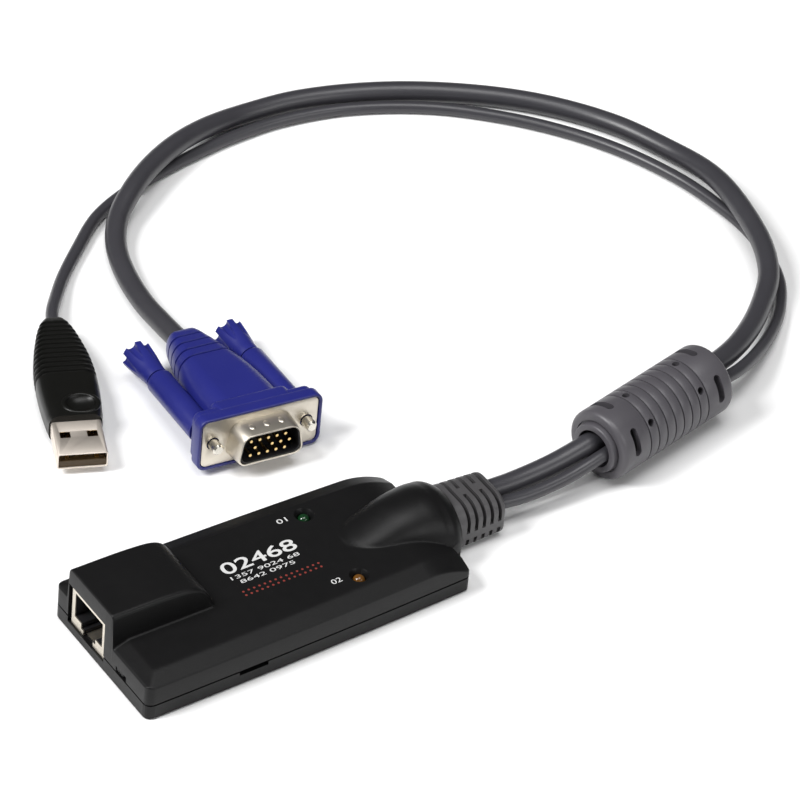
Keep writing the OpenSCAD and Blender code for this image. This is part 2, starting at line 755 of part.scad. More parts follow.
module screw(s) {
    video_frame() translate([-38, s * shaft_y, 0]) rotate([0, 90, 0]) {
        cylinder(h = 38.2, r = neck_r, $fn = 48);
        translate([0, 0, 38.1]) cylinder(h = screw_reach, r = screw_r, $fn = 48);
        translate([0, 0, 38.1 + screw_reach])
            cylinder(h = 0.5, r1 = screw_r, r2 = screw_r - 0.4, $fn = 48);
    }
}

module knob(s) {
    video_frame() translate([-39.8, s * shaft_y, 0]) rotate([0, 90, 0]) difference() {
        union() {
            cylinder(h = 6.5, r1 = 3.9, r2 = 3.4, $fn = 48);
            translate([0, 0, 6.5]) cylinder(h = 4.6, r1 = 3.4, r2 = 3.2, $fn = 48);
            translate([0, 0, 11]) cylinder(h = 0.9, r = 2.6, $fn = 48);
        }
        translate([0, 0, 1.8]) cylinder(h = 12, r = neck_r + 0.01, $fn = 48);
        for (a = [0:60:300]) rotate(a) translate([4.3, 0, -2]) rotate([0, -2.5, 0])
            cylinder(h = 11, r1 = 1.25, r2 = 0.8, $fn = 32);
    }
}

module left_thumbscrew() {
    color([0.75, 0.75, 0.73]) screw(-1);
}

module right_thumbscrew() {
    color([0.75, 0.75, 0.73]) screw(1);
}

module left_knob() {
    color([0.13, 0.2, 0.6]) knob(-1);
}

module right_knob() {
    color([0.13, 0.2, 0.6]) knob(1);
}

// overmould of the thinner cord's plug: distance back from the front, width, height
usb_rows = [
    [plug_depth, 12.8, 8.2], [13, 13.3, 8.5], [16, 13.9, 8.6], [20, 14.5, 8.6], [25, 14.8, 8.6],
    [30, 14.7, 8.5], [34, 14.1, 8.2], [38, 12.9, 7.8], [42, 11.2, 7.2], [46, 9.2, 6.4],
    [49, 6.9, 5.6], [usb_back, 5, 4.8]
];
usb_grooves = [for (i = [9:-1:0]) 34.6 + 1.55 * i];
usb_stations = concat(
    [[usb_back, 0], [49.6, 0]],
    [for (g = usb_grooves) each [[g + 0.42, 0], [g + 0.3, rib_depth], [g - 0.3, rib_depth], [g - 0.42, 0]]],
    [for (x = [33, 30, 25, 20, 16, 13, plug_depth]) [x, 0]]
);
function usb_ring(x, depth) = let (
    s = smooth_row(usb_rows, x),
    w = s[1] - 2 * depth,
    h = s[2] - 2 * depth
) [for (q = box2(w, h, min(w, h) * 0.36, 4)) [-x, q[0], q[1]]];

module usb_plug_hood() {
    color([0.08, 0.08, 0.085])
    usb_frame() {
        difference() {
            loft([for (s = usb_stations) usb_ring(s[0], s[1])]);
            along_x(-16.1, 9) polygon(box2(12.05, 4.55, 0.6, 3));
            translate([-15.4, 2, 5.3]) scale([4.6, 4.1, 2.2]) sphere(r = 1, $fn = 48);
        }
        translate([-15.4, 2, 4.12]) scale([4.15, 3.55, 3.4])
            rotate_extrude($fn = 48) translate([1, 0]) circle(r = 0.13, $fn = 12);
    }
}

module usb_plug_shell() {
    color([0.8, 0.8, 0.8])
    usb_frame() difference() {
        along_x(-16, 16) polygon(box2(12, 4.5, 0.6, 3));
        along_x(-15.5, 20) polygon(box2(11.4, 3.9, 0.3, 3));
        for (s = [-1, 1]) translate([-8.2, s * 3.25 - 1.25, -4]) cube([2.2, 2.5, 8]);
    }
}

module usb_plug_tongue() {
    color([0.12, 0.07, 0.03])
    usb_frame() {
        translate([-15.4, -5.65, -1.9]) cube([15.1, 11.3, 1.84]);
        translate([-15.4, -5.65, -0.1]) cube([3, 11.3, 1.9]);
    }
}

module usb_plug_contacts() {
    color([0.85, 0.68, 0.3])
    usb_frame() for (y = [-3.5, -1, 1, 3.5])
        translate([-12.3, y - 0.5, -0.06]) cube([abs(y) > 2 ? 11.5 : 10.5, 1, 0.2]);
}

top_cover();
bottom_cover();
housing_screws();
circuit_board();
network_jack_shield();
network_jack_body();
network_jack_contacts();
online_led();
power_led();
recovery_switch_body();
recovery_switch_slider();
main_processor();
memory_chips();
network_transformer();
crystal();
capacitors();
video_header();
usb_header();
cable_boot();
video_cord();
usb_cord();
ferrite_cover();
ferrite_core();
video_plug_hood();
video_plug_shell();
video_plug_insulator();
video_plug_pins();
left_thumbscrew();
right_thumbscrew();
left_knob();
right_knob();
usb_plug_hood();
usb_plug_shell();
usb_plug_tongue();
usb_plug_contacts();
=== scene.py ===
import math

import bpy
from mathutils import Euler, Matrix, Vector


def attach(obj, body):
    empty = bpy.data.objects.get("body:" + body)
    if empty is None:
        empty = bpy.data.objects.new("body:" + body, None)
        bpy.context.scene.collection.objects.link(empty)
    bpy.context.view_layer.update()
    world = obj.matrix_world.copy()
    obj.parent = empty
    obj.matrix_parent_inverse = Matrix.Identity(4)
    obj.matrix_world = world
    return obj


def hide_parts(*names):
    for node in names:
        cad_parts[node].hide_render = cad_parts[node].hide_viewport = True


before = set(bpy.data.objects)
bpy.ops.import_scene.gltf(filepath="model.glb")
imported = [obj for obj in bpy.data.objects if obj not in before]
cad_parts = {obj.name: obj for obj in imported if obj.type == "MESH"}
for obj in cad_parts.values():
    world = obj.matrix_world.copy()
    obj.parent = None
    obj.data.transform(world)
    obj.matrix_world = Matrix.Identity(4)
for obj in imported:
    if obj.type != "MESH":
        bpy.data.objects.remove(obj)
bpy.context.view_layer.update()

bl_info = {
    "name": "Cable interface module",
    "version": (1, 0, 0),
    "blender": (4, 5, 0),
    "location": "View3D > Sidebar > Module",
    "description": "Dresses the packed interface module: covers, boot, cords, plugs and finishes",
    "category": "Add Mesh",
}

MM = 0.001

# The module's own frame starts at the jack face, the plugs have frames of their own.
MODULE = Matrix.Translation((-0.053, 0, 0))
VIDEO = Matrix.Translation((0.017, 0.044, 0.00835)) @ Euler(
    [math.radians(a) for a in (-3, -4.5, -94.5)]
).to_matrix().to_4x4()
THIN_PLUG = Matrix.Translation((-0.0226, 0.0589, 0.0043)) @ Matrix.Rotation(
    math.radians(-112.5), 4, "Z"
)
CHOKE = Matrix.Translation((0.1035, 0.005, 0.0091)) @ Matrix.Rotation(
    math.radians(12.5), 4, "Z"
) @ Matrix.Rotation(math.radians(90), 4, "Y")

# Routes of the two cords from the boot to their plugs, in metres.
VIDEO_ROUTE = [
    (0.053, 0.0023, 0.0065), (0.062, 0.0022, 0.0063), (0.073, 0.002, 0.0074),
    (0.084, 0.0024, 0.0094), (0.103, 0.0066, 0.0094), (0.122, 0.0108, 0.0094),
    (0.134, 0.015, 0.0082), (0.145, 0.0215, 0.0066), (0.155, 0.0295, 0.0054),
    (0.1625, 0.037, 0.0056), (0.1675, 0.046, 0.0061), (0.171, 0.057, 0.0061),
    (0.1735, 0.07, 0.0059), (0.1742, 0.08, 0.0048), (0.1725, 0.092, 0.0032),
    (0.166, 0.109, 0.0027), (0.154, 0.125, 0.0027), (0.1385, 0.138, 0.0027),
    (0.12, 0.1485, 0.0027), (0.1, 0.1552, 0.0027), (0.083, 0.1566, 0.0029),
    (0.07, 0.1542, 0.0048), (0.059, 0.1504, 0.0061), (0.049, 0.1458, 0.0062),
    (0.04, 0.14, 0.0059), (0.032, 0.1335, 0.0043), (0.027, 0.126, 0.0029),
    (0.0235, 0.116, 0.0027), (0.0213, 0.104, 0.003), (0.0205, 0.093, 0.0041),
    (0.0202, 0.0841, 0.005),
]
THIN_ROUTE = [
    (0.053, -0.0024, 0.0065), (0.062, -0.003, 0.006), (0.073, -0.003, 0.0068),
    (0.085, -0.0021, 0.0089), (0.104, 0.0021, 0.0089), (0.123, 0.0063, 0.0089),
    (0.133, 0.0092, 0.0076), (0.144, 0.0154, 0.0048), (0.1535, 0.0224, 0.0026),
    (0.161, 0.0295, 0.0016), (0.167, 0.038, 0.0016), (0.1706, 0.049, 0.0016),
    (0.172, 0.06, 0.0016), (0.171, 0.0725, 0.0016), (0.1686, 0.084, 0.0016),
    (0.163, 0.0986, 0.0016), (0.155, 0.112, 0.0016), (0.1435, 0.1255, 0.0016),
    (0.1285, 0.138, 0.0016), (0.11, 0.1472, 0.0016), (0.092, 0.1512, 0.0016),
    (0.0766, 0.1512, 0.0016), (0.064, 0.1496, 0.0016), (0.052, 0.1472, 0.0016),
    (0.04, 0.144, 0.0016), (0.029, 0.139, 0.0016), (0.0185, 0.1305, 0.0016),
    (0.01, 0.1228, 0.0018), (0.0036, 0.1156, 0.0028), (-0.0008, 0.11, 0.0039),
    (-0.0034, 0.1053, 0.0043),
]


# shader maths


class Value:
    """One shader output that can be used in a Python expression."""

    def __init__(self, paint, socket):
        self.paint = paint
        self.socket = socket

    def math(self, operation, *others, flip=False):
        terms = [self, *others]
        if flip:
            terms.reverse()
        return self.paint.node(
            "ShaderNodeMath", {"operation": operation}, dict(enumerate(terms))
        )

    def __add__(self, other):
        return self.math("ADD", other)

    __radd__ = __add__

    def __sub__(self, other):
        return self.math("SUBTRACT", other)

    def __rsub__(self, other):
        return self.math("SUBTRACT", other, flip=True)

    def __mul__(self, other):
        return self.math("MULTIPLY", other)

    __rmul__ = __mul__

    def clamp(self, low, high):
        return self.paint.node(
            "ShaderNodeClamp", {}, {"Value": self, "Min": low, "Max": high}
        )


class Paint:
    """A procedural material and the nodes that feed its surface."""

    def __init__(self, name, **constants):
        self.material = bpy.data.materials.new(name)
        self.material.use_nodes = True
        self.tree = self.material.node_tree
        self.surface = self.tree.nodes["Principled BSDF"]
        for socket, value in constants.items():
            self.surface.inputs[socket.replace("_", " ")].default_value = value

    def node(self, kind, settings, inputs, output=0):
        made = self.tree.nodes.new(kind)
        for name, value in settings.items():
            setattr(made, name, value)
        for name, value in inputs.items():
            if isinstance(value, Value):
                self.tree.links.new(value.socket, made.inputs[name])
            else:
                made.inputs[name].default_value = value
        return Value(self, made.outputs[output])

    def place(self, scale=(1, 1, 1)):
        where = self.node("ShaderNodeTexCoord", {}, {}, "Object")
        return self.node("ShaderNodeMapping", {}, {"Vector": where, "Scale": scale})

    def noise(self, scale, detail=2.0, roughness=0.5, stretch=(1, 1, 1)):
        return self.node(
            "ShaderNodeTexNoise",
            {},
            {
                "Vector": self.place(stretch),
                "Scale": scale,
                "Detail": detail,
                "Roughness": roughness,
            },
            "Fac",
        )

    def blend(self, factor, first, second):
        made = self.tree.nodes.new("ShaderNodeMix")
        made.data_type = "RGBA"
        self.tree.links.new(factor.socket, made.inputs["Factor"])
        for name, value in (("A", first), ("B", second)):
            socket = [s for s in made.inputs if s.name == name and s.type == "RGBA"][0]
            if isinstance(value, Value):
                self.tree.links.new(value.socket, socket)
            else:
                socket.default_value = (*value, 1)
        return Value(self, [s for s in made.outputs if s.type == "RGBA"][0])

    def bump(self, height, distance):
        inputs = {"Height": height, "Distance": distance, "Strength": 1.0}
        return self.node("ShaderNodeBump", {}, inputs)

    def feed(self, **links):
        for socket, value in links.items():
            self.tree.links.new(value.socket, self.surface.inputs[socket.replace("_", " ")])
        return self.material


def moulded(name, dark, light, rough, grain=0.00001, grain_scale=2600.0, **constants):
    """Moulded plastic: a fine even grain, slight shade drift and rubbed patches."""
    paint = Paint(name, **constants)
    drift = paint.noise(60.0, 3.0)
    fine = paint.noise(grain_scale, 2.0, 0.6)
    wear = paint.noise(400.0, 4.0)
    return paint.feed(
        Base_Color=paint.blend(drift.clamp(0.25, 0.75), dark, light),
        Roughness=(rough - 0.06) + wear * 0.12,
        Normal=paint.bump(fine, grain),
    )


def metal(name, dark, light, rough, brushed):
    """Plated or turned metal: faint drawing marks, cloudy tone and fine scratches."""
    paint = Paint(name, Metallic=1.0)
    cloud = paint.noise(180.0, 4.0)
    marks = paint.noise(900.0, 3.0, 0.7, brushed)
    return paint.feed(
        Base_Color=paint.blend(cloud.clamp(0.2, 0.8), dark, light),
        Roughness=(rough - 0.08) + marks * 0.16,
        Normal=paint.bump(marks, 0.000006),
    )


def clear_lens(name, colour):
    """Tinted lamp lens, cloudy, with painted shade for its depth in darker patches, as an unlit lamp
    looks.
    """
    paint = Paint(name, IOR=1.5)
    cloud = paint.noise(900.0, 3.0)
    # the darker tone is painted shade for the deep-set lens, blended in cloudy patches at random
    depth_painted_shade = tuple(c * 0.3 for c in colour)
    return paint.feed(
        Base_Color=paint.blend(cloud.clamp(0.3, 0.7), depth_painted_shade, colour),
        Roughness=0.08 + cloud * 0.12,
    )


# darker shade, lighter shade, roughness, and what else differs from the usual plastic
MOULDED = {
    "cover_plastic": (
        (0.0045, 0.0044, 0.0046), (0.0065, 0.0064, 0.0066), 0.4,
        {"grain": 0.000022, "grain_scale": 1900.0, "Specular_IOR_Level": 0.2},
    ),
    "boot_rubber": ((0.052, 0.05, 0.052), (0.064, 0.062, 0.064), 0.44, {"grain": 0.000012}),
    "cord_jacket": ((0.031, 0.03, 0.035), (0.041, 0.04, 0.046), 0.36, {"grain": 0.000008}),
    "choke_cover": ((0.064, 0.06, 0.068), (0.078, 0.074, 0.083), 0.42, {"grain": 0.000012}),
    "blue_overmould": ((0.0105, 0.0135, 0.135), (0.016, 0.0195, 0.175), 0.36, {}),
    "usb_overmould": (
        (0.0035, 0.0035, 0.003), (0.0055, 0.0055, 0.0048), 0.34,
        {"grain": 0.000008, "Specular_IOR_Level": 0.25},
    ),
    "black_insulator": ((0.006, 0.006, 0.007), (0.01, 0.01, 0.012), 0.5, {}),
    "slider_plastic": ((0.01, 0.01, 0.01), (0.014, 0.014, 0.014), 0.4, {}),
    "brown_tongue": ((0.04, 0.021, 0.003), (0.055, 0.03, 0.006), 0.6, {}),
    "chip_package": ((0.012, 0.012, 0.013), (0.02, 0.02, 0.021), 0.6, {}),
    "header_plastic": ((0.6, 0.57, 0.46), (0.68, 0.65, 0.54), 0.5, {}),
    "board_laminate": ((0.008, 0.07, 0.03), (0.012, 0.1, 0.045), 0.35, {}),
    "ferrite": ((0.002, 0.002, 0.002), (0.004, 0.004, 0.004), 0.85, {}),
    "white_print": ((0.5, 0.5, 0.5), (0.62, 0.62, 0.61), 0.5, {}),
    "red_print": ((0.16, 0.02, 0.016), (0.24, 0.035, 0.026), 0.5, {}),
}
# darker shade, lighter shade, roughness, and how far the drawing marks are squeezed
METAL = {
    "nickel_shell": ((0.6, 0.55, 0.47), (0.76, 0.71, 0.62), 0.4, (1, 6, 1)),
    # a lighter copy of the nickel shell's finish: painted light for the thinner plug's shell, which
    # is the same nickel
    "painted_lit_nickel_shell": ((0.72, 0.65, 0.58), (0.86, 0.79, 0.71), 0.52, (6, 1, 1)),
    "thumbscrew_metal": ((0.62, 0.59, 0.52), (0.76, 0.73, 0.66), 0.26, (1, 1, 1)),
    "screw_steel": ((0.4, 0.4, 0.41), (0.55, 0.55, 0.56), 0.35, (1, 1, 1)),
    "switch_metal": ((0.5, 0.5, 0.5), (0.62, 0.62, 0.6), 0.32, (1, 1, 1)),
    "crystal_can": ((0.62, 0.62, 0.6), (0.75, 0.75, 0.73), 0.25, (1, 1, 1)),
    "capacitor_can": ((0.6, 0.6, 0.6), (0.74, 0.74, 0.74), 0.28, (1, 1, 1)),
    "contact_gold": ((0.72, 0.5, 0.2), (0.88, 0.66, 0.32), 0.22, (1, 1, 1)),
}
# lamp tints, kept dark: their own tint with painted shade of the deep-set lens
LENS = {"green_lamp": (0.006, 0.042, 0.012), "amber_lamp": (0.17, 0.07, 0.012)}


def make_finishes():
    """Every finish of the module by name."""
    made = {name: moulded(name, *row[:3], **row[3]) for name, row in MOULDED.items()}
    made.update({name: metal(name, *row) for name, row in METAL.items()})
    made.update({name: clear_lens(name, colour) for name, colour in LENS.items()})
    return made


FINISH = {}
NODE_FINISH = {
    "top_cover": "cover_plastic",
    "bottom_cover": "cover_plastic",
    "housing_screws": "screw_steel",
    "circuit_board": "board_laminate",
    "network_jack_shield": "nickel_shell",
    "network_jack_body": "black_insulator",
    "network_jack_contacts": "contact_gold",
    "online_led": "green_lamp",
    "power_led": "amber_lamp",
    "recovery_switch_body": "switch_metal",
    "recovery_switch_slider": "slider_plastic",
    "main_processor": "chip_package",
    "memory_chips": "chip_package",
    "network_transformer": "chip_package",
    "crystal": "crystal_can",
    "capacitors": "capacitor_can",
    "video_header": "header_plastic",
    "usb_header": "header_plastic",
    "cable_boot": "boot_rubber",
    "ferrite_cover": "choke_cover",
    "ferrite_core": "ferrite",
    "video_plug_hood": "blue_overmould",
    "video_plug_shell": "nickel_shell",
    "video_plug_insulator": "black_insulator",
    "video_plug_pins": "contact_gold",
    "left_thumbscrew": "thumbscrew_metal",
    "right_thumbscrew": "thumbscrew_metal",
    "left_knob": "blue_overmould",
    "right_knob": "blue_overmould",
    "usb_plug_hood": "usb_overmould",
    "usb_plug_shell": "nickel_shell",
    "usb_plug_tongue": "brown_tongue",
    "usb_plug_contacts": "contact_gold",
}


# modelling


def deselect():
    if bpy.context.object and bpy.context.object.mode != "OBJECT":
        bpy.ops.object.mode_set(mode="OBJECT")
    bpy.ops.object.select_all(action="DESELECT")


def take(piece):
    deselect()
    piece.select_set(True)
    bpy.context.view_layer.objects.active = piece


def block(name, low, high):
    """A cube that fills the box from low to high, in millimetres."""
    deselect()
    bpy.ops.mesh.primitive_cube_add(size=MM)
    piece = bpy.context.object
    piece.name = name
    size = [b - a for a, b in zip(low, high)]
    middle = [(a + b) / 2 * MM for a, b in zip(low, high)]
    piece.data.transform(Matrix.Translation(middle) @ Matrix.Diagonal((*size, 1)))
    return piece


def rod(name, radius, length, start, axis="X", sides=48, tip=None):
    """A cylinder or cone from start along X or Z, in millimetres."""
    deselect()
    bpy.ops.mesh.primitive_cone_add(
        vertices=sides,
        radius1=radius * MM,
        radius2=(radius if tip is None else tip) * MM,
        depth=length * MM,
        location=(0, 0, length / 2 * MM),
    )
    piece = bpy.context.object
    piece.name = name
    bpy.ops.object.transform_apply(location=True, rotation=True, scale=True)
    turn = Matrix.Rotation(math.radians(90), 4, "Y") if axis == "X" else Matrix.Identity(4)
    piece.data.transform(Matrix.Translation([s * MM for s in start]) @ turn)
    return piece


def pick(piece, test, kind="FACE"):
    """Enters edit mode with just the faces or edges chosen by their middle."""
    take(piece)
    mesh = piece.data
    bpy.ops.object.mode_set(mode="EDIT")
    bpy.ops.mesh.select_mode(type=kind)
    bpy.ops.mesh.select_all(action="DESELECT")
    bpy.ops.object.mode_set(mode="OBJECT")
    for part in mesh.polygons if kind == "FACE" else mesh.edges:
        if kind == "FACE":
            middle = part.center
        else:
            middle = (mesh.vertices[part.vertices[0]].co + mesh.vertices[part.vertices[1]].co) / 2
        part.select = test(middle / MM)
    bpy.ops.object.mode_set(mode="EDIT")


def object_mode():
    bpy.ops.object.mode_set(mode="OBJECT")


def modify(piece, kind, **settings):
    """Adds a modifier and applies it."""
    take(piece)
    added = piece.modifiers.new(kind.title(), kind)
    for name, value in settings.items():
        setattr(added, name, value)
    bpy.ops.object.modifier_apply(modifier=added.name)


def soften(piece, width, angle=35.0, segments=2):
    """Rounds the sharp edges."""
    modify(
        piece, "BEVEL", width=width * MM, segments=segments, limit_method="ANGLE",
        angle_limit=math.radians(angle), harden_normals=False,
    )


def cut(piece, *tools, operation="DIFFERENCE"):
    """Takes the tools' shapes out of the piece, or adds them, and uses the tools up."""
    for tool in tools:
        modify(piece, "BOOLEAN", object=tool, operation=operation, solver="EXACT")
        bpy.data.objects.remove(tool, do_unlink=True)


def join(name, *pieces):
    take(pieces[0])
    for piece in pieces[1:]:
        piece.select_set(True)
    bpy.ops.object.join()
    piece = bpy.context.object
    piece.name = name
    return piece


def clean(piece):
    """Merges doubles and turns every face outwards."""
    take(piece)
    bpy.ops.object.mode_set(mode="EDIT")
    bpy.ops.mesh.select_all(action="SELECT")
    bpy.ops.mesh.remove_doubles(threshold=0.000002)
    bpy.ops.mesh.normals_make_consistent(inside=False)
    bpy.ops.object.mode_set(mode="OBJECT")


def lay_in(piece, place, body, finish, *nodes, smooth=35.0, slot=None):
    """Puts a finished piece in its frame, on its body, in its finish."""
    piece.data.transform(place)
    take(piece)
    if smooth:
        bpy.ops.object.shade_smooth_by_angle(angle=math.radians(smooth))
    piece.data.materials.clear()
    piece.data.materials.append(FINISH[finish])
    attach(piece, body)
    if nodes:
        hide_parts(*nodes)


# camera, light, floor


class CameraSettings(bpy.types.PropertyGroup):
    place: bpy.props.FloatVectorProperty(
        name="Place", description="Where the camera stands",
        default=(-0.5299, -0.7327, 0.8228), unit="LENGTH", subtype="TRANSLATION",
    )
    focal: bpy.props.FloatProperty(
        name="Focal length", description="Focal length on a 36 mm sensor, in millimetres",
        default=238.15, min=50, max=400,
    )
    roll: bpy.props.FloatProperty(
        name="Roll", description="Clockwise lean of uprights in the picture",
        default=math.radians(5.752), unit="ROTATION",
    )


class StageSettings(bpy.types.PropertyGroup):
    key: bpy.props.FloatProperty(
        name="Key", description="Power that the three softboxes take their shares of",
        default=20.0, unit="POWER",
    )
    floor: bpy.props.FloatVectorProperty(
        name="Floor", description="Colour of the floor", default=(0.93, 0.93, 0.93),
        subtype="COLOR", size=3,
    )


def softbox(name, place, target, size, power):
    light = bpy.data.lights.new(name, "AREA")
    light.shape = "RECTANGLE"
    light.size, light.size_y = size
    light.energy = power
    lamp = bpy.data.objects.new(name, light)
    bpy.context.scene.collection.objects.link(lamp)
    lamp.location = place
    lamp.rotation_euler = (Vector(target) - Vector(place)).to_track_quat("-Z", "Y").to_euler()


class MODULE_OT_camera(bpy.types.Operator):
    """Set the camera at the photograph's viewing angle"""

    bl_idname = "module.camera"
    bl_label = "Camera"

    def execute(self, context):
        settings = context.scene.module_camera
        right = Vector((0.79765, -0.60312, 0))
        ahead = Vector((0.46114, 0.60988, -0.64451))
        above = right.cross(ahead)
        c = math.cos(settings.roll)
        s = math.sin(settings.roll)
        across = right * c + above * s
        upright = above * c - right * s
        data = bpy.data.cameras.new("Camera")
        data.lens = settings.focal
        data.sensor_width = 36
        data.sensor_fit = "HORIZONTAL"
        data.clip_start = 0.01
        camera = bpy.data.objects.new("Camera", data)
        context.scene.collection.objects.link(camera)
        turn = Matrix((across, upright, -ahead)).transposed().to_4x4()
        camera.matrix_world = Matrix.Translation(settings.place) @ turn
        context.scene.camera = camera
        return {"FINISHED"}


class MODULE_OT_stage(bpy.types.Operator):
    """Lay a plain pale floor under soft studio light"""

    bl_idname = "module.stage"
    bl_label = "Stage"

    def execute(self, context):
        settings = context.scene.module_stage
        deselect()
        bpy.ops.mesh.primitive_plane_add(size=8)
        floor = context.object
        floor.name = "studio_floor"
        paint = Paint("studio_floor", Roughness=0.7)
        cloud = paint.noise(3.0, 2.0)
        dim = tuple(v * 0.985 for v in settings.floor)
        paint.feed(Base_Color=paint.blend(cloud, dim, tuple(settings.floor)))
        floor.data.materials.append(paint.material)
        world = bpy.data.worlds.new("Studio")
        world.use_nodes = True
        world.node_tree.nodes["Background"].inputs["Color"].default_value = (1, 1, 1, 1)
        world.node_tree.nodes["Background"].inputs["Strength"].default_value = 0.08
        context.scene.world = world
        context.scene.view_settings.view_transform = "Standard"
        middle = (0.07, 0.05, 0)
        softbox("left_key", (-0.95, 0.25, 1.1), middle, (0.5, 0.6), settings.key * 1.15)
        softbox("overhead", (0.05, -0.15, 1.4), middle, (1.0, 0.7), settings.key * 0.6)
        softbox("front_fill", (0.5, -1.2, 0.75), middle, (0.9, 0.6), settings.key * 0.3)
        return {"FINISHED"}


# cords


class CordSettings(bpy.types.PropertyGroup):
    video_diameter: bpy.props.FloatProperty(
        name="Video cord", description="Diameter of the video cord",
        default=0.0054, unit="LENGTH", subtype="DISTANCE",
    )
    thin_diameter: bpy.props.FloatProperty(
        name="Thin cord", description="Diameter of the thinner cord",
        default=0.0032, unit="LENGTH", subtype="DISTANCE",
    )


def route_length(route):
    """Length of the smooth curve through the route's points."""
    total = 0.0
    steps = 24
    points = [Vector(p) for p in route]
    points = [2 * points[0] - points[1], *points, 2 * points[-1] - points[-2]]
    for i in range(1, len(points) - 2):
        last = points[i]
        for k in range(1, steps + 1):
            t = k / steps
            a, b, c, d = points[i - 1:i + 3]
            now = 0.5 * (
                2 * b + (c - a) * t + (2 * a - 5 * b + 4 * c - d) * t * t
                + (3 * b - a - 3 * c + d) * t ** 3
            )
            total += (now - last).length
            last = now
    return total


def draw_cord(name, route, diameter):
    curve = bpy.data.curves.new(name, "CURVE")
    curve.dimensions = "3D"
    curve.resolution_u = 12
    curve.bevel_depth = diameter / 2
    curve.bevel_resolution = 8
    curve.use_fill_caps = True
    spline = curve.splines.new("BEZIER")
    spline.bezier_points.add(len(route) - 1)
    points = [Vector(p) for p in route]
    for i, point in enumerate(spline.bezier_points):
        before = points[max(0, i - 1)]
        after = points[min(len(points) - 1, i + 1)]
        point.co = points[i]
        tangent = (after - before).normalized()
        point.handle_left_type = point.handle_right_type = "FREE"
        point.handle_left = points[i] - tangent * (points[i] - before).length / 3
        point.handle_right = points[i] + tangent * (after - points[i]).length / 3
    piece = bpy.data.objects.new(name, curve)
    bpy.context.scene.collection.objects.link(piece)
    curve.materials.append(FINISH["cord_jacket"])
    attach(piece, "module")
    return piece


class MODULE_OT_cords(bpy.types.Operator):
    """Draw the video cord and the thinner cord along their routes"""

    bl_idname = "module.cords"
    bl_label = "Cords"

    def execute(self, context):
        settings = context.scene.module_cords
        video = draw_cord("video_cord_jacket", VIDEO_ROUTE, settings.video_diameter)
        thin = draw_cord("thin_cord_jacket", THIN_ROUTE, settings.thin_diameter)
        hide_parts("video_cord")
        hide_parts("usb_cord")
        return {"FINISHED"}


def declare_cords():
    """Works out the length of each cord's route, and keeps neither."""
    route_length(VIDEO_ROUTE)
    route_length(THIN_ROUTE)


# covers


class CoverSettings(bpy.types.PropertyGroup):
    edge_radius: bpy.props.FloatProperty(
        name="Edge radius", description="Rounding of the top cover's outer edges, in millimetres",
        default=0.4, min=0.1, max=1.0,
    )
    parting_gap: bpy.props.FloatProperty(
        name="Parting gap", description="Height of the shadow gap between the covers, in millimetres",
        default=0.45, min=0.1, max=0.6,
    )


# housing, in millimetres from the jack face, its middle and the floor
BODY_LENGTH = 88.5
ARCH_END = 92.5
HALF_WIDTH = 20.4
SIDE_TAPER = 1.65
FALL_START = 76
FALL_DEPTH = 3.8
WALL_TOP = 9.6
PLATEAU = 11.0
BEVEL_RISE = 1.4
BEVEL_FRONT = 3.8
BEVEL_SIDE = 4.2
SPLIT = 4.1
HUMP_Y = 5.1
HUMP_HALF = 9.5
HUMP_FOOT = 9.96
JACK_Y = 6.3
HUMP_ROOF = [
    (0, 18.9), (0.5, 18.9), (10, 18.85), (14, 18.75), (18, 18.5), (20.5, 18.15), (22.3, 17.6),
    (23.7, 16.8), (24.8, 15.7), (25.8, 14.3), (26.6, 12.6), (27.3, 10.9), (28, 9.5), (30, 8.5),
    (93, 8.5),
]
# swelling over the cable entry: distance, half width, height over the top
SWELL = [
    (64.5, 2.2, 0.1), (66, 3.6, 0.5), (68.5, 5.3, 1.3), (71, 6.3, 2.2), (74, 7.1, 3.3),
    (77, 7.8, 4.4), (80, 8.6, 5.4), (83, 9.4, 6.5), (86, 10.3, 7.8), (88.5, 11.0, 8.6),
    (90, 11.1, 8.3), (91.5, 10.3, 7.5), (92.5, 9.0, 6.7),
]


def along(table, x, column=1):
    """A smooth value between the rows of a table."""
    last = len(table) - 1
    if x <= table[0][0]:
        return table[0][column]
    if x >= table[last][0]:
        return table[last][column]
    i = max(k for k in range(last) if table[k][0] <= x)
    span = table[i + 1][0] - table[i][0]
    t = (x - table[i][0]) / span

    def slope(k):
        low = max(0, k - 1)
        high = min(last, k + 1)
        return (table[high][column] - table[low][column]) / (table[high][0] - table[low][0])

    a, b = table[i][column], table[i + 1][column]
    return (
        a * (1 + 2 * t) * (1 - t) ** 2 + b * t * t * (3 - 2 * t)
        + span * (slope(i) * t * (1 - t) ** 2 - slope(i + 1) * t * t * (1 - t))
    )


def soft_min(a, b, r):
    h = max(r - abs(a - b), 0) / r
    return min(a, b) - h * h * r / 4


def soft_max(a, b, r):
    return -soft_min(-a, -b, r)


def quarter(distance, r):
    """How far a rounded edge of radius r drops at a distance from the edge."""
    if distance >= r:
        return 0.0
    return r - math.sqrt(max(0.0, r * r - (r - max(0.0, distance)) ** 2))


def half_width(x):
    return HALF_WIDTH - SIDE_TAPER * (x / BODY_LENGTH) ** 2


def side_edge(x):
    """Half width with the upright corners rounded."""
    return half_width(x) - quarter(x, 2) - quarter(BODY_LENGTH - x, 1.2)


def sink(x):
    """Fall of the top towards the cord end."""
    reach = BODY_LENGTH - FALL_START
    return FALL_DEPTH * (max(0.0, min(x, BODY_LENGTH) - FALL_START) / reach) ** 2


def plain_top(x, y):
    wall = WALL_TOP - sink(x)
    front = BEVEL_RISE * x / BEVEL_FRONT
    side = BEVEL_RISE * (half_width(x) - abs(y)) / BEVEL_SIDE
    return wall + max(0.0, soft_min(BEVEL_RISE, soft_min(front, side, 0.18), 0.12))


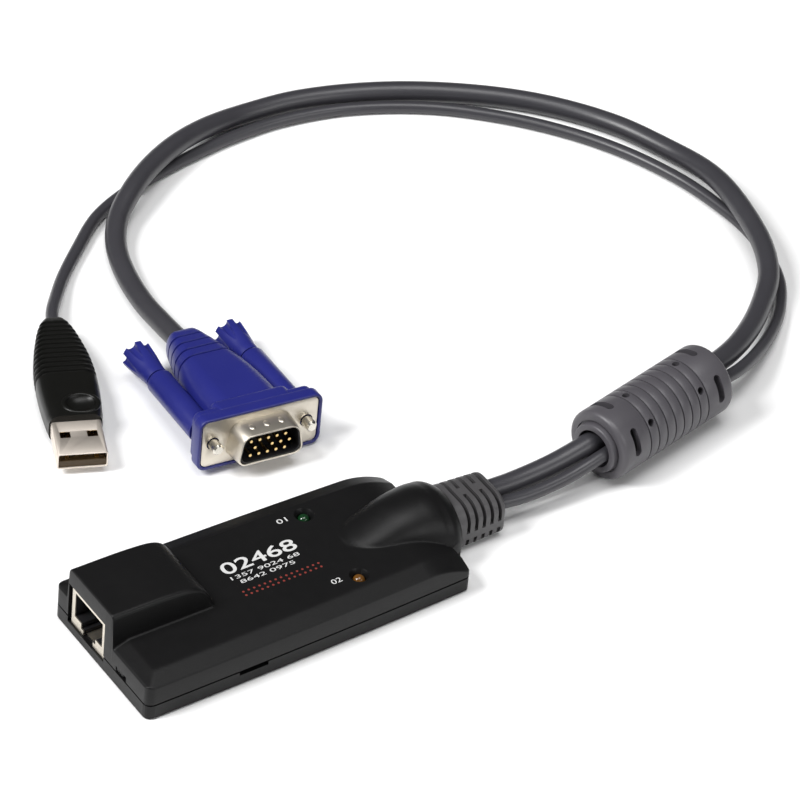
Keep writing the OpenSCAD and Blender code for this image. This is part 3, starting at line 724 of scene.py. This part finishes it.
def hump_top(x, y, base):
    radius = 1.1
    fillet = 0.5
    roof = soft_max(along(HUMP_ROOF, x), base, 1.6) if x > 20 else along(HUMP_ROOF, x)
    off = abs(y - HUMP_Y)
    if off <= HUMP_HALF:
        return roof - quarter(HUMP_HALF - off, radius)
    shoulder = roof - radius
    foot = min(shoulder, base + fillet)
    if off <= HUMP_FOOT:
        return shoulder + (foot - shoulder) * (off - HUMP_HALF) / 0.46
    return base + quarter(off - HUMP_FOOT, fillet) - (base + fillet - foot)


def swell_top(x, y):
    half = along(SWELL, x, 1)
    if x < SWELL[0][0] or abs(y) > half:
        return 0.0
    crown = along(SWELL, x, 2) + 0.5
    return PLATEAU - sink(x) - 0.5 + crown * (1 - (y / half) ** 2) ** 0.6


def top_height(x, y, radius):
    base = plain_top(x, y)
    swell = swell_top(x, y)
    if x > BODY_LENGTH:
        return swell
    edge = min(x, side_edge(x) - abs(y), BODY_LENGTH - x if swell < base else 9)
    high = max(hump_top(x, y, base), base) if x < 40 else soft_max(base, swell, 0.45)
    return high - quarter(edge, radius)


def arch_end(y):
    """Where the top ends: over the boot it runs on as an arch."""
    off = abs(y)
    if off >= 11.15:
        return BODY_LENGTH
    outline = [(8.4, ARCH_END), (9.3, 92.25), (10.1, 91.6), (10.8, 90.5), (11.15, BODY_LENGTH)]
    return along(outline, off) if off > 8.4 else ARCH_END


def spread(low, high, step):
    count = max(1, round((high - low) / step))
    return [low + (high - low) * i / count for i in range(count)]


def cover_rows():
    ends = [0, 0.03, 0.08, 0.16, 0.28, 0.42, 0.65, 1, 1.5, 2, 2.6, 3.2, 3.6, 3.8, 4.2]
    rows = ends + spread(4.8, 20, 1.1) + spread(20, 30, 0.4) + spread(30, 63, 2.2)
    rows += spread(63, 86, 0.3)
    tail = [86, 86.4, 86.8, 87.2, 87.5, 87.75, 87.95, 88.1, 88.22, 88.33, 88.41, 88.47, 88.5]
    return rows + tail


def cover_columns():
    shoulder = [8.4, 8.6, 8.8, 8.97, 9.12, 9.24, 9.34, 9.42, 9.47, 9.5, 9.62, 9.74, 9.86, 9.96,
                9.98, 10.02, 10.08, 10.16, 10.26, 10.38, 10.5]
    fine = [HUMP_Y - s for s in reversed(shoulder)] + [HUMP_Y + s for s in shoulder]
    plain = spread(-17, -11.6, 0.45) + spread(-11.6, fine[0], 0.16) + fine[:21]
    plain += spread(fine[20] + 0.35, 6.5, 0.4) + spread(6.5, 12, 0.16) + spread(12, fine[21], 0.3)
    plain += fine[21:] + [17.0]
    rim = [0.42, 0.9, 1.5, 2.2, 2.7, 2.95, 3.1, 3.22, 3.31, 3.36, 3.4]
    return [-17 - r for r in reversed(rim)] + plain + [17 + r for r in rim]


class MODULE_OT_top_cover(bpy.types.Operator):
    """Shape the top cover: bevelled top, jack hump and the swelling over the cable entry"""

    bl_idname = "module.top_cover"
    bl_label = "Top cover"

    def execute(self, context):
        settings = context.scene.module_cover
        rows = cover_rows()
        columns = cover_columns()
        deselect()
        bpy.ops.mesh.primitive_grid_add(
            x_subdivisions=len(rows) - 1, y_subdivisions=len(columns) - 1, size=1,
        )
        cover = context.object
        cover.name = "top_cover_shell"
        for vertex in cover.data.vertices:
            i = round((vertex.co.x + 0.5) * (len(rows) - 1))
            j = round((vertex.co.y + 0.5) * (len(columns) - 1))
            x, y = rows[i], columns[j]
            if x > 84:
                x = 84 + (x - 84) * (arch_end(y) - 84) / (BODY_LENGTH - 84)
            if abs(y) > 17:
                y = math.copysign(17 + (abs(y) - 17) * (side_edge(x) - 17) / 3.4, y)
            vertex.co = Vector((x, y, top_height(x, y, settings.edge_radius))) * MM
        self.walls(cover, settings.parting_gap)
        cut(cover, self.inside(), *self.openings())
        lay_in(cover, MODULE, "module", "cover_plastic", "top_cover", smooth=50)
        return {"FINISHED"}

    def walls(self, cover, gap):
        """Draws the rim down to the parting line and steps it in for the shadow gap."""
        take(cover)
        bpy.ops.object.mode_set(mode="EDIT")
        bpy.ops.mesh.select_mode(type="EDGE")
        bpy.ops.mesh.select_all(action="DESELECT")
        bpy.ops.mesh.select_non_manifold()
        for height, inward in ((SPLIT + gap, 0.0), (SPLIT + gap, 0.35), (SPLIT, 0.35)):
            bpy.ops.mesh.extrude_region_move()
            object_mode()
            for vertex in cover.data.vertices:
                if vertex.select:
                    vertex.co.z = height * MM
                    if inward and height > SPLIT:
                        vertex.co.y -= math.copysign(min(abs(vertex.co.y), inward * MM), vertex.co.y)
                        middle = 44 * MM
                        vertex.co.x -= math.copysign(inward * MM, vertex.co.x - middle) * (
                            abs(vertex.co.x - middle) > 43.9 * MM
                        )
            bpy.ops.object.mode_set(mode="EDIT")
        bpy.ops.mesh.edge_face_add()
        bpy.ops.mesh.select_all(action="SELECT")
        bpy.ops.mesh.normals_make_consistent(inside=False)
        object_mode()

    def inside(self):
        """The space under the cover, as one tool."""
        room = block("room", (1.8, -18.2, 3), (80, 18.2, 9.1))
        pick(room, lambda m: m.x > 79.9)
        bpy.ops.transform.resize(value=(1, 0.94, 1), center_override=(0.08, 0, 0.006))
        object_mode()
        spaces = [
            block("space", (79.5, -16.9, 3), (86.6, 16.9, 6.2)),
            block("space", (73, -4.5, 3.2), (81, 4.5, 11.8)),
            block("space", (80.5, -6, 3.1), (82.5, 6, 12.1)),
            block("space", (82.2, -7.9, 3.1), (86, 7.9, 12.1)),
            block("space", (1.9, JACK_Y - 9.2, 3.2), (20.5, JACK_Y + 7.6, 17.4)),
            block("space", (20.4, JACK_Y - 9.2, 3.1), (24.6, JACK_Y + 7.6, 12)),
            block("space", (-1, JACK_Y - 7.5, 3.3), (3, JACK_Y + 8.2, 14.2)),
            block("space", (-1, -11, 3.4), (3, -6.6, 6)),
        ]
        cut(room, *spaces, operation="UNION")
        return room

    def openings(self):
        """Lamp holes with their countersinks, and the way out for the boot."""
        tools = [boot_form("way_out", 85.2, 96, 7.6, 0.2, 13.0, 4.7, 3.1)]
        for side in (-1, 1):
            tools.append(rod("hole", 1.65, 10, (61.6, side * 11.8, 5), "Z"))
            tools.append(rod("sink", 1.5, 1.3, (61.6, side * 11.8, PLATEAU - 1.15), "Z", tip=2.5))
        return tools


def boot_form(name, start, end, half, low, high, upper, lower, taper=None):
    """A bar with rounded long edges, drawn in at its far end by taper (width, height, z)."""
    piece = block(name, (start, -half, low), (end, half, high))
    for height, radius in ((high, upper), (low, lower)):
        pick(piece, lambda m: abs(abs(m.y) - half) < 0.01 and start + 0.1 < m.x < end - 0.1 and (
            abs(m.z - height) < 0.01), "EDGE")
        bpy.ops.mesh.bevel(offset=radius * MM, segments=10, affect="EDGES")
        object_mode()
    if taper:
        width, tall, still = taper
        pick(piece, lambda m: m.x > end - 0.01)
        bpy.ops.transform.resize(
            value=(1, width, tall), center_override=(end * MM, 0, still * MM)
        )
        object_mode()
    return piece


class MODULE_OT_boot(bpy.types.Operator):
    """Shape the slotted cable boot"""

    bl_idname = "module.boot"
    bl_label = "Cable boot"

    def execute(self, context):
        boot = boot_form(
            "cable_boot_body", 88.6, 106, 7.5, 0.3, 12.9, 4.6, 3, taper=(14 / 15, 11.2 / 12.6, 2.1)
        )
        soften(boot, 0.55, 60, 3)
        core = boot_form(
            "core", 88.6, 106, 6, 1.8, 11.4, 3.2, 1.6, taper=(5.5 / 6, 8.2 / 9.6, 3.17)
        )
        slots = []
        for i in range(5):
            x = 94.9 + 2.25 * i
            if i % 2 == 0:
                slots.append(block("slot", (x, -9, 5.6), (x + 0.95, 9, 14)))
            else:
                slots.append(block("slot", (x, -9, 5.6), (x + 0.95, -1.2, 14)))
                slots.append(block("slot", (x, 1.2, 5.6), (x + 0.95, 9, 14)))
            slots.append(block("slot", (x, -9, -1), (x + 0.95, 9, 3.7)))
        tool = join("slots", *slots)
        cut(tool, core)
        cut(boot, tool)
        neck = boot_form("neck", 85.6, 88.8, 6.2, 1.9, 11.3, 3.6, 3.6)
        flange = boot_form("flange", 82.6, 85.8, 7.7, 1.9, 11.3, 3, 3)
        boot = join("cable_boot_body", boot, neck, flange)
        lay_in(boot, MODULE, "module", "boot_rubber", "cable_boot", smooth=30)
        return {"FINISHED"}


# choke on the two cords


def turned(name, outline, steps=96):
    """A closed outline of radius and height turned once round Z."""
    deselect()
    bpy.ops.mesh.primitive_circle_add(vertices=len(outline), radius=MM)
    piece = bpy.context.object
    piece.name = name
    for vertex, (radius, height) in zip(piece.data.vertices, outline):
        vertex.co = Vector((radius, 0, height)) * MM
    bpy.ops.object.mode_set(mode="EDIT")
    bpy.ops.mesh.select_all(action="SELECT")
    bpy.ops.mesh.spin(steps=steps, angle=math.tau, center=(0, 0, 0), axis=(0, 0, 1))
    object_mode()
    clean(piece)
    return piece


class MODULE_OT_choke(bpy.types.Operator):
    """Mould the choke's cover: rings, slots, pits and a collar at each end"""

    bl_idname = "module.choke"
    bl_label = "Choke cover"

    def execute(self, context):
        half = 19.5
        outside = []
        for i in range(-4, 4):
            middle = (i + 0.5) * 2.95
            outside += [
                (9.1, middle - 0.3), (9.05, middle - 0.2), (8.72, middle - 0.13),
                (8.72, middle + 0.13), (9.05, middle + 0.2), (9.1, middle + 0.3),
            ]
        end = [(9.1, 18.2), (9.02, 18.65), (8.78, 19.08), (8.4, 19.37), (7.9, half)]
        collar = [
            (6.9, half), (6.8, 19.1), (6.45, 19.1), (6.4, half), (6.37, 20.5), (6.2, 20.75),
            (5.9, 20.85), (4.9, 20.85),
        ]
        tip = end + collar
        outline = [(4.9, -20.85)] + [(r, -z) for r, z in reversed(tip[:-1])] + outside + tip
        cover = turned("choke_cover", outline)
        core = turned("core_room", [(5.4, -14.05), (7.6, -14.05), (7.6, 14.05), (5.4, 14.05)])
        cut(cover, core)
        for side in (19, 199):
            for turn in (-45, 45):
                for end_z in (-14.95, 14.95):
                    slot = bar("slot", (5.6, -3.6, -1.0), (12, 3.6, 1.0), 0.97, 8)
                    self.place(slot, side + turn, end_z)
                    cut(cover, slot)
            for turn in (-30, 30):
                for end_z in (-8.9, 8.9):
                    pit = rod("pit", 0.95, 5, (7.0, 0, 0), sides=32)
                    self.place(pit, side + turn, end_z)
                    cut(cover, pit)
        lay_in(cover, CHOKE, "module", "choke_cover", "ferrite_cover", smooth=32)
        return {"FINISHED"}

    def place(self, tool, angle, height):
        turn = Matrix.Rotation(math.radians(angle), 4, "Z")
        tool.data.transform(Matrix.Translation((0, 0, height * MM)) @ turn)


# print on the top cover


class MODULE_OT_marks(bpy.types.Operator):
    """Print plain numbers and a band of dots on the top cover"""

    bl_idname = "module.marks"
    bl_label = "Marks"

    def execute(self, context):
        rows = [
            ("02468", 34.6, 2.6, 3.7, 19.8), ("1357 9024 68", 35.0, 0.5, 1.15, 18.4),
            ("8642 0975", 36.4, -1.4, 1.15, 14.6), ("01", 54.6, 11.7, 1.5, 2.6),
            ("02", 54.6, -11.7, 1.5, 2.6),
        ]
        parts = [self.number(*row) for row in rows]
        numbers = join("printed_numbers", *parts)
        lay_in(numbers, MODULE, "module", "white_print", smooth=0, slot="cover_plastic")
        dot = rod("printed_dots", 0.3, 0.03, (35.2, -3.9, 10.99), "Z", 12)
        for count, step in ((15, (1.45, 0, 0)), (2, (0, -1.3, 0))):
            modify(
                dot, "ARRAY", count=count, use_relative_offset=False, use_constant_offset=True,
                constant_offset_displace=[v * MM for v in step],
            )
        lay_in(dot, MODULE, "module", "red_print", smooth=0, slot="cover_plastic")
        return {"FINISHED"}

    def number(self, digits, x, y, height, width):
        """Plain digits from a lower left corner, stretched to a width."""
        deselect()
        bpy.ops.object.text_add()
        piece = bpy.context.object
        piece.data.body = digits
        piece.data.size = height * MM / 0.7
        piece.data.extrude = 0.000015
        piece.data.offset = 0.00005 if height > 3 else 0
        bpy.ops.object.convert(target="MESH")
        piece = bpy.context.object
        corners = [vertex.co.copy() for vertex in piece.data.vertices]
        left = min(c.x for c in corners)
        low = min(c.y for c in corners)
        stretch = width * MM / (max(c.x for c in corners) - left)
        piece.data.transform(
            Matrix.Translation((x * MM, y * MM, 11.005 * MM))
            @ Matrix.Diagonal((stretch, 1, 1, 1)) @ Matrix.Translation((-left, -low, 0))
        )
        clean(piece)
        return piece


# video plug


def drawn_out(stations, start):
    """Extrudes the selected end face through stations of place, width and height."""
    width, height = start[1:]
    x = start[0]
    for place, w, h in stations:
        bpy.ops.mesh.extrude_region_move(
            TRANSFORM_OT_translate={"value": ((place - x) * MM, 0, 0)}
        )
        bpy.ops.transform.resize(
            value=(1, w / width, h / height), center_override=(place * MM, 0, 0)
        )
        x, width, height = place, w, h
    object_mode()


def ribbed(table, grooves, depth, half, low, step=1.2):
    """Stations along a tapering body with narrow grooves round it."""
    places = []
    x = table[0][0]
    while x > low:
        places.append((x, 0))
        x -= step
    places.append((low, 0))
    for g in grooves:
        places = [p for p in places if abs(p[0] - g) > half * 2.2]
        places += [(g + half * 1.7, 0), (g + half * 1.3, depth * 0.35), (g + half, depth),
                   (g - half, depth), (g - half * 1.3, depth * 0.35), (g - half * 1.7, 0)]
    ordered = [(-p[0], p[1]) for p in places]
    ordered.sort()
    back = [(-x, w, h) for x, w, h in table]
    return [
        (-x, along(back, x, 1) - 2 * d, along(back, x, 2) - 2 * d) for x, d in ordered
    ]


VIDEO_HOOD = [
    (-6.5, 19.6, 12.6), (-14, 19.2, 12.4), (-20, 18.2, 12.0), (-24, 16.8, 11.5),
    (-27.1, 15.3, 11.0), (-30.3, 14.0, 10.4), (-33.5, 12.5, 9.8), (-36.7, 10.8, 9.0),
    (-38.8, 9.7, 8.4), (-39.9, 9.0, 8.0), (-40.4, 8.2, 7.4),
]
SHAFT_Y = 12.495


def bar(name, low, high, radius, segments=8):
    """A block whose long edges along X are rounded."""
    piece = block(name, low, high)
    pick(piece, lambda m: low[0] < m.x < high[0] and (
        min(abs(m.y - low[1]), abs(m.y - high[1])) < 0.01
        and min(abs(m.z - low[2]), abs(m.z - high[2])) < 0.01), "EDGE")
    bpy.ops.mesh.bevel(offset=radius * MM, segments=segments, affect="EDGES")
    object_mode()
    return piece


class MODULE_OT_video_hood(bpy.types.Operator):
    """Mould the video plug's hood, its flange and the two screw tubes"""

    bl_idname = "module.video_hood"
    bl_label = "Video plug hood"

    def execute(self, context):
        hood = bar("video_hood", (-6.5, -9.8, -6.3), (-5.2, 9.8, 6.3), 5.2, 10)
        stations = ribbed(VIDEO_HOOD, (-27.5, -30.7, -33.9, -37.1), 0.45, 0.2, -40.4)
        pick(hood, lambda m: m.x < -6.49)
        drawn_out(stations[1:], (-6.5, 19.6, 12.6))

        flange = bar("flange", (-2.9, -16.5, -7.2), (0.3, 16.5, 7.2), 2.4)
        pick(flange, lambda m: m.x > 0.29)
        bpy.ops.mesh.inset(thickness=0.85 * MM)
        bpy.ops.mesh.extrude_region_move(TRANSFORM_OT_translate={"value": (-0.95 * MM, 0, 0)})
        object_mode()
        soften(flange, 0.3, 50, 3)
        step = bar("step", (-5.4, -15.7, -6.5), (-2.7, 15.7, 6.5), 2.0)
        crown = bar("crown", (-7.4, -10.4, -6.7), (-2.7, 10.4, 6.7), 2.0)
        parts = [hood, flange, step, crown]
        soften(step, 0.8, 50, 4)
        soften(crown, 1.1, 50, 4)
        for side in (-1, 1):
            tube = rod("tube", 3.3, 21.8, (-27.8, side * SHAFT_Y, 0))
            soften(tube, 0.3, 50, 3)
            parts.append(tube)
        for part in parts:
            if part is not hood:
                for side in (-1, 1):
                    cut(part, rod("bore", 1.22, 40, (-35, side * SHAFT_Y, 0)))
        cut(flange, block("seat", (-3.1, -8.1, -4.1), (1, 8.1, 4.1)))
        whole = join("video_hood", *parts)
        lay_in(whole, VIDEO, "module", "blue_overmould", "video_plug_hood", smooth=32)
        return {"FINISHED"}


class MODULE_OT_knobs(bpy.types.Operator):
    """Turn the two fluted knobs of the video plug's screws"""

    bl_idname = "module.knobs"
    bl_label = "Knobs"

    def execute(self, context):
        knob = rod("knob", 3.9, 4, (0, 0, 0), tip=3.55)
        pick(knob, lambda m: m.x > 3.99)
        stations = [
            (7, 6.3, 6.3), (9, 5.8, 5.8), (11.3, 5.7, 5.7), (11.32, 4.9, 4.9), (11.94, 4.9, 4.9)
        ]
        drawn_out(stations, (4, 7.1, 7.1))
        for a in range(6):
            tool = rod("flute", 1.3, 12.5, (-2, 0, 0), sides=32, tip=0.75)
            tool.data.transform(
                Matrix.Rotation(math.radians(60 * a + 30), 4, "X")
                @ Matrix.Translation((0, 0, 3.95 * MM))
                @ Matrix.Rotation(math.radians(-1.5), 4, "Y")
            )
            cut(knob, tool)
        cut(knob, rod("bore", 1.16, 12, (1.8, 0, 0)))
        soften(knob, 0.22, 38, 3)
        for side, name, body in ((-1, "left_knob", "left_screw"), (1, "right_knob", "right_screw")):
            piece = knob.copy()
            piece.data = knob.data.copy()
            piece.name = name + "_grip"
            context.scene.collection.objects.link(piece)
            place = VIDEO @ Matrix.Translation((-39.8 * MM, side * SHAFT_Y * MM, 0))
            lay_in(piece, place, body, "blue_overmould", name, smooth=40)
        bpy.data.objects.remove(knob, do_unlink=True)
        return {"FINISHED"}


class MODULE_OT_video_shell(bpy.types.Operator):
    """Press the video plug's face plate and the skirt round its pins"""

    bl_idname = "module.video_shell"
    bl_label = "Video plug shell"

    def execute(self, context):
        plate = bar("plate", (-0.6, -15.42, -6.29), (0, 15.42, 6.29), 1.55)
        for side in (-1, 1):
            cut(plate, rod("hole", 1.65, 4, (-2, side * SHAFT_Y, 0)))
        soften(plate, 0.1, 50)
        skirt = self.skirt("skirt", -0.3, 5.9, 0)
        pick(skirt, lambda m: m.x < -0.2)
        bpy.ops.transform.resize(value=(1, 1.06, 1.12), center_override=(0, 0, 0))
        object_mode()
        cut(skirt, self.skirt("hollow", -1, 7, 0.4))
        cut(plate, self.skirt("hollow", -2, 2, 0.4))
        soften(skirt, 0.12, 50, 3)
        parts = [plate, skirt]
        for i in (-1, 0, 1):
            deselect()
            bpy.ops.mesh.primitive_uv_sphere_add(segments=32, ring_count=16, radius=1)
            dimple = context.object
            place = Matrix.Translation((2.7 * MM, i * 3.9 * MM, 4.15 * MM))
            dimple.data.transform(place @ Matrix.Diagonal((1.3 * MM, 0.95 * MM, 0.5 * MM, 1)))
            parts.append(dimple)
        whole = join("video_shell", *parts)
        lay_in(whole, VIDEO, "module", "nickel_shell", "video_plug_shell", smooth=35)
        return {"FINISHED"}

    def skirt(self, name, start, end, t):
        """The D form, wide side down, less a skin of thickness t."""
        piece = block(name, (start, -8.9 + 1.19 * t, -4.18 + t), (end, 8.9 - 1.19 * t, 4.18 - t))
        pick(piece, lambda m: m.z > 4.17 - t)
        width = (7.47 - 0.84 * t) / (8.9 - 1.19 * t)
        bpy.ops.transform.resize(value=(1, width, 1), center_override=(0, 0, 0))
        object_mode()
        pick(piece, lambda m: start + 0.1 < m.x < end - 0.1, "EDGE")
        bpy.ops.mesh.bevel(offset=(2.5 - t) * MM, segments=8, affect="EDGES")
        object_mode()
        return piece


# thinner cord's plug


THIN_HOOD = [
    (-12.2, 12.9, 8.3), (-13, 13.3, 8.5), (-16, 13.9, 8.6), (-20, 14.5, 8.6), (-25, 14.8, 8.6),
    (-30, 14.7, 8.5), (-34, 14.1, 8.2), (-38, 12.9, 7.8), (-42, 11.2, 7.2), (-46, 9.2, 6.4),
    (-49, 6.9, 5.6), (-50.2, 5.0, 4.8),
]


class MODULE_OT_thin_hood(bpy.types.Operator):
    """Mould the thinner cord's plug: ribbed tail, thumb dimple and its raised ring"""

    bl_idname = "module.thin_hood"
    bl_label = "Thin plug hood"

    def execute(self, context):
        hood = bar("thin_hood", (-12.2, -6.45, -4.15), (-11.75, 6.45, 4.15), 2.9, 8)
        grooves = [-27.9 - 1.8 * i for i in range(12)]
        stations = ribbed(THIN_HOOD, grooves, 0.55, 0.42, -50.2, 1.5)
        pick(hood, lambda m: m.x < -12.19)
        drawn_out(stations[1:], (-12.2, 12.9, 8.3))
        pick(hood, lambda m: m.x > -11.76)
        bpy.ops.mesh.inset(thickness=0.3 * MM)
        object_mode()
        cut(hood, bar("seat", (-16.1, -6.03, -2.28), (-8, 6.03, 2.28), 0.6, 4))
        deselect()
        bpy.ops.mesh.primitive_uv_sphere_add(segments=64, ring_count=32, radius=1)
        ball = context.object
        ball.data.transform(
            Matrix.Translation((-15.9 * MM, 1.7 * MM, 5.3 * MM))
            @ Matrix.Diagonal((3.2 * MM, 4.1 * MM, 2.2 * MM, 1))
        )
        cut(hood, ball)
        deselect()
        bpy.ops.mesh.primitive_torus_add(
            major_radius=1, minor_radius=0.16, major_segments=64, minor_segments=16
        )
        ring = context.object
        ring.data.transform(
            Matrix.Translation((-15.9 * MM, 1.7 * MM, 4.05 * MM))
            @ Matrix.Diagonal((3.3 * MM, 4.15 * MM, 3.2 * MM, 1))
        )
        whole = join("thin_hood", hood, ring)
        lay_in(whole, THIN_PLUG, "module", "usb_overmould", "usb_plug_hood", smooth=35)
        return {"FINISHED"}


class MODULE_OT_thin_shell(bpy.types.Operator):
    """Fold the thinner cord's plug shell with its latch holes"""

    bl_idname = "module.thin_shell"
    bl_label = "Thin plug shell"

    def execute(self, context):
        shell = bar("thin_shell", (-16, -6, -2.25), (0, 6, 2.25), 0.6, 5)
        cut(shell, bar("hollow", (-15.5, -5.7, -1.95), (1, 5.7, 1.95), 0.35, 4))
        for side in (-1, 1):
            middle = side * 3.25
            hole = block("latch", (-8.2, middle - 1.25, -4), (-6, middle + 1.25, 4))
            pick(hole, lambda m: abs(m.z) < 0.1, "EDGE")
            bpy.ops.mesh.bevel(offset=0.25 * MM, segments=3, affect="EDGES")
            object_mode()
            cut(shell, hole)
        soften(shell, 0.1, 50)
        # the shell takes the lighter copy of the nickel finish, painted light on the same nickel
        lay_in(shell, THIN_PLUG, "module", "painted_lit_nickel_shell", "usb_plug_shell", slot="nickel_shell")
        return {"FINISHED"}


# finishes on the CAD nodes


class MODULE_OT_finishes(bpy.types.Operator):
    """Give every carried-over part its finish"""

    bl_idname = "module.finishes"
    bl_label = "Finishes"

    def execute(self, context):
        for node, finish in NODE_FINISH.items():
            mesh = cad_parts[node].data
            mesh.materials.clear()
            mesh.materials.append(FINISH[finish])
        return {"FINISHED"}


# panel and registration


class MODULE_PT_panel(bpy.types.Panel):
    """Lists the module's pieces and settings"""

    bl_idname = "MODULE_PT_panel"
    bl_label = "Interface module"
    bl_space_type = "VIEW_3D"
    bl_region_type = "UI"
    bl_category = "Module"

    def draw(self, context):
        for operator in OPERATORS:
            self.layout.operator(operator.bl_idname)
        for name in SETTINGS:
            group = getattr(context.scene, name)
            for key in group.bl_rna.properties.keys():
                if key not in ("rna_type", "name"):
                    self.layout.prop(group, key)


SETTINGS = {
    "module_camera": CameraSettings,
    "module_stage": StageSettings,
    "module_cords": CordSettings,
    "module_cover": CoverSettings,
}
OPERATORS = (
    MODULE_OT_camera,
    MODULE_OT_stage,
    MODULE_OT_cords,
    MODULE_OT_top_cover,
    MODULE_OT_boot,
    MODULE_OT_choke,
    MODULE_OT_marks,
    MODULE_OT_video_hood,
    MODULE_OT_knobs,
    MODULE_OT_video_shell,
    MODULE_OT_thin_hood,
    MODULE_OT_thin_shell,
    MODULE_OT_finishes,
)


def register():
    for group in SETTINGS.values():
        bpy.utils.register_class(group)
    for name, group in SETTINGS.items():
        setattr(bpy.types.Scene, name, bpy.props.PointerProperty(type=group))
    for operator in OPERATORS:
        bpy.utils.register_class(operator)
    bpy.utils.register_class(MODULE_PT_panel)


def unregister():
    bpy.utils.unregister_class(MODULE_PT_panel)
    for operator in reversed(OPERATORS):
        bpy.utils.unregister_class(operator)
    for name in SETTINGS:
        delattr(bpy.types.Scene, name)
    for group in reversed(list(SETTINGS.values())):
        bpy.utils.unregister_class(group)


def main():
    register()
    FINISH.update(make_finishes())
    bpy.ops.module.camera()
    bpy.ops.module.stage()
    bpy.ops.module.cords()
    bpy.ops.module.top_cover()
    bpy.ops.module.boot()
    bpy.ops.module.choke()
    bpy.ops.module.marks()
    bpy.ops.module.video_hood()
    bpy.ops.module.knobs()
    bpy.ops.module.video_shell()
    bpy.ops.module.thin_hood()
    bpy.ops.module.thin_shell()
    bpy.ops.module.finishes()
    declare_cords()


if __name__ == "__main__":
    main()
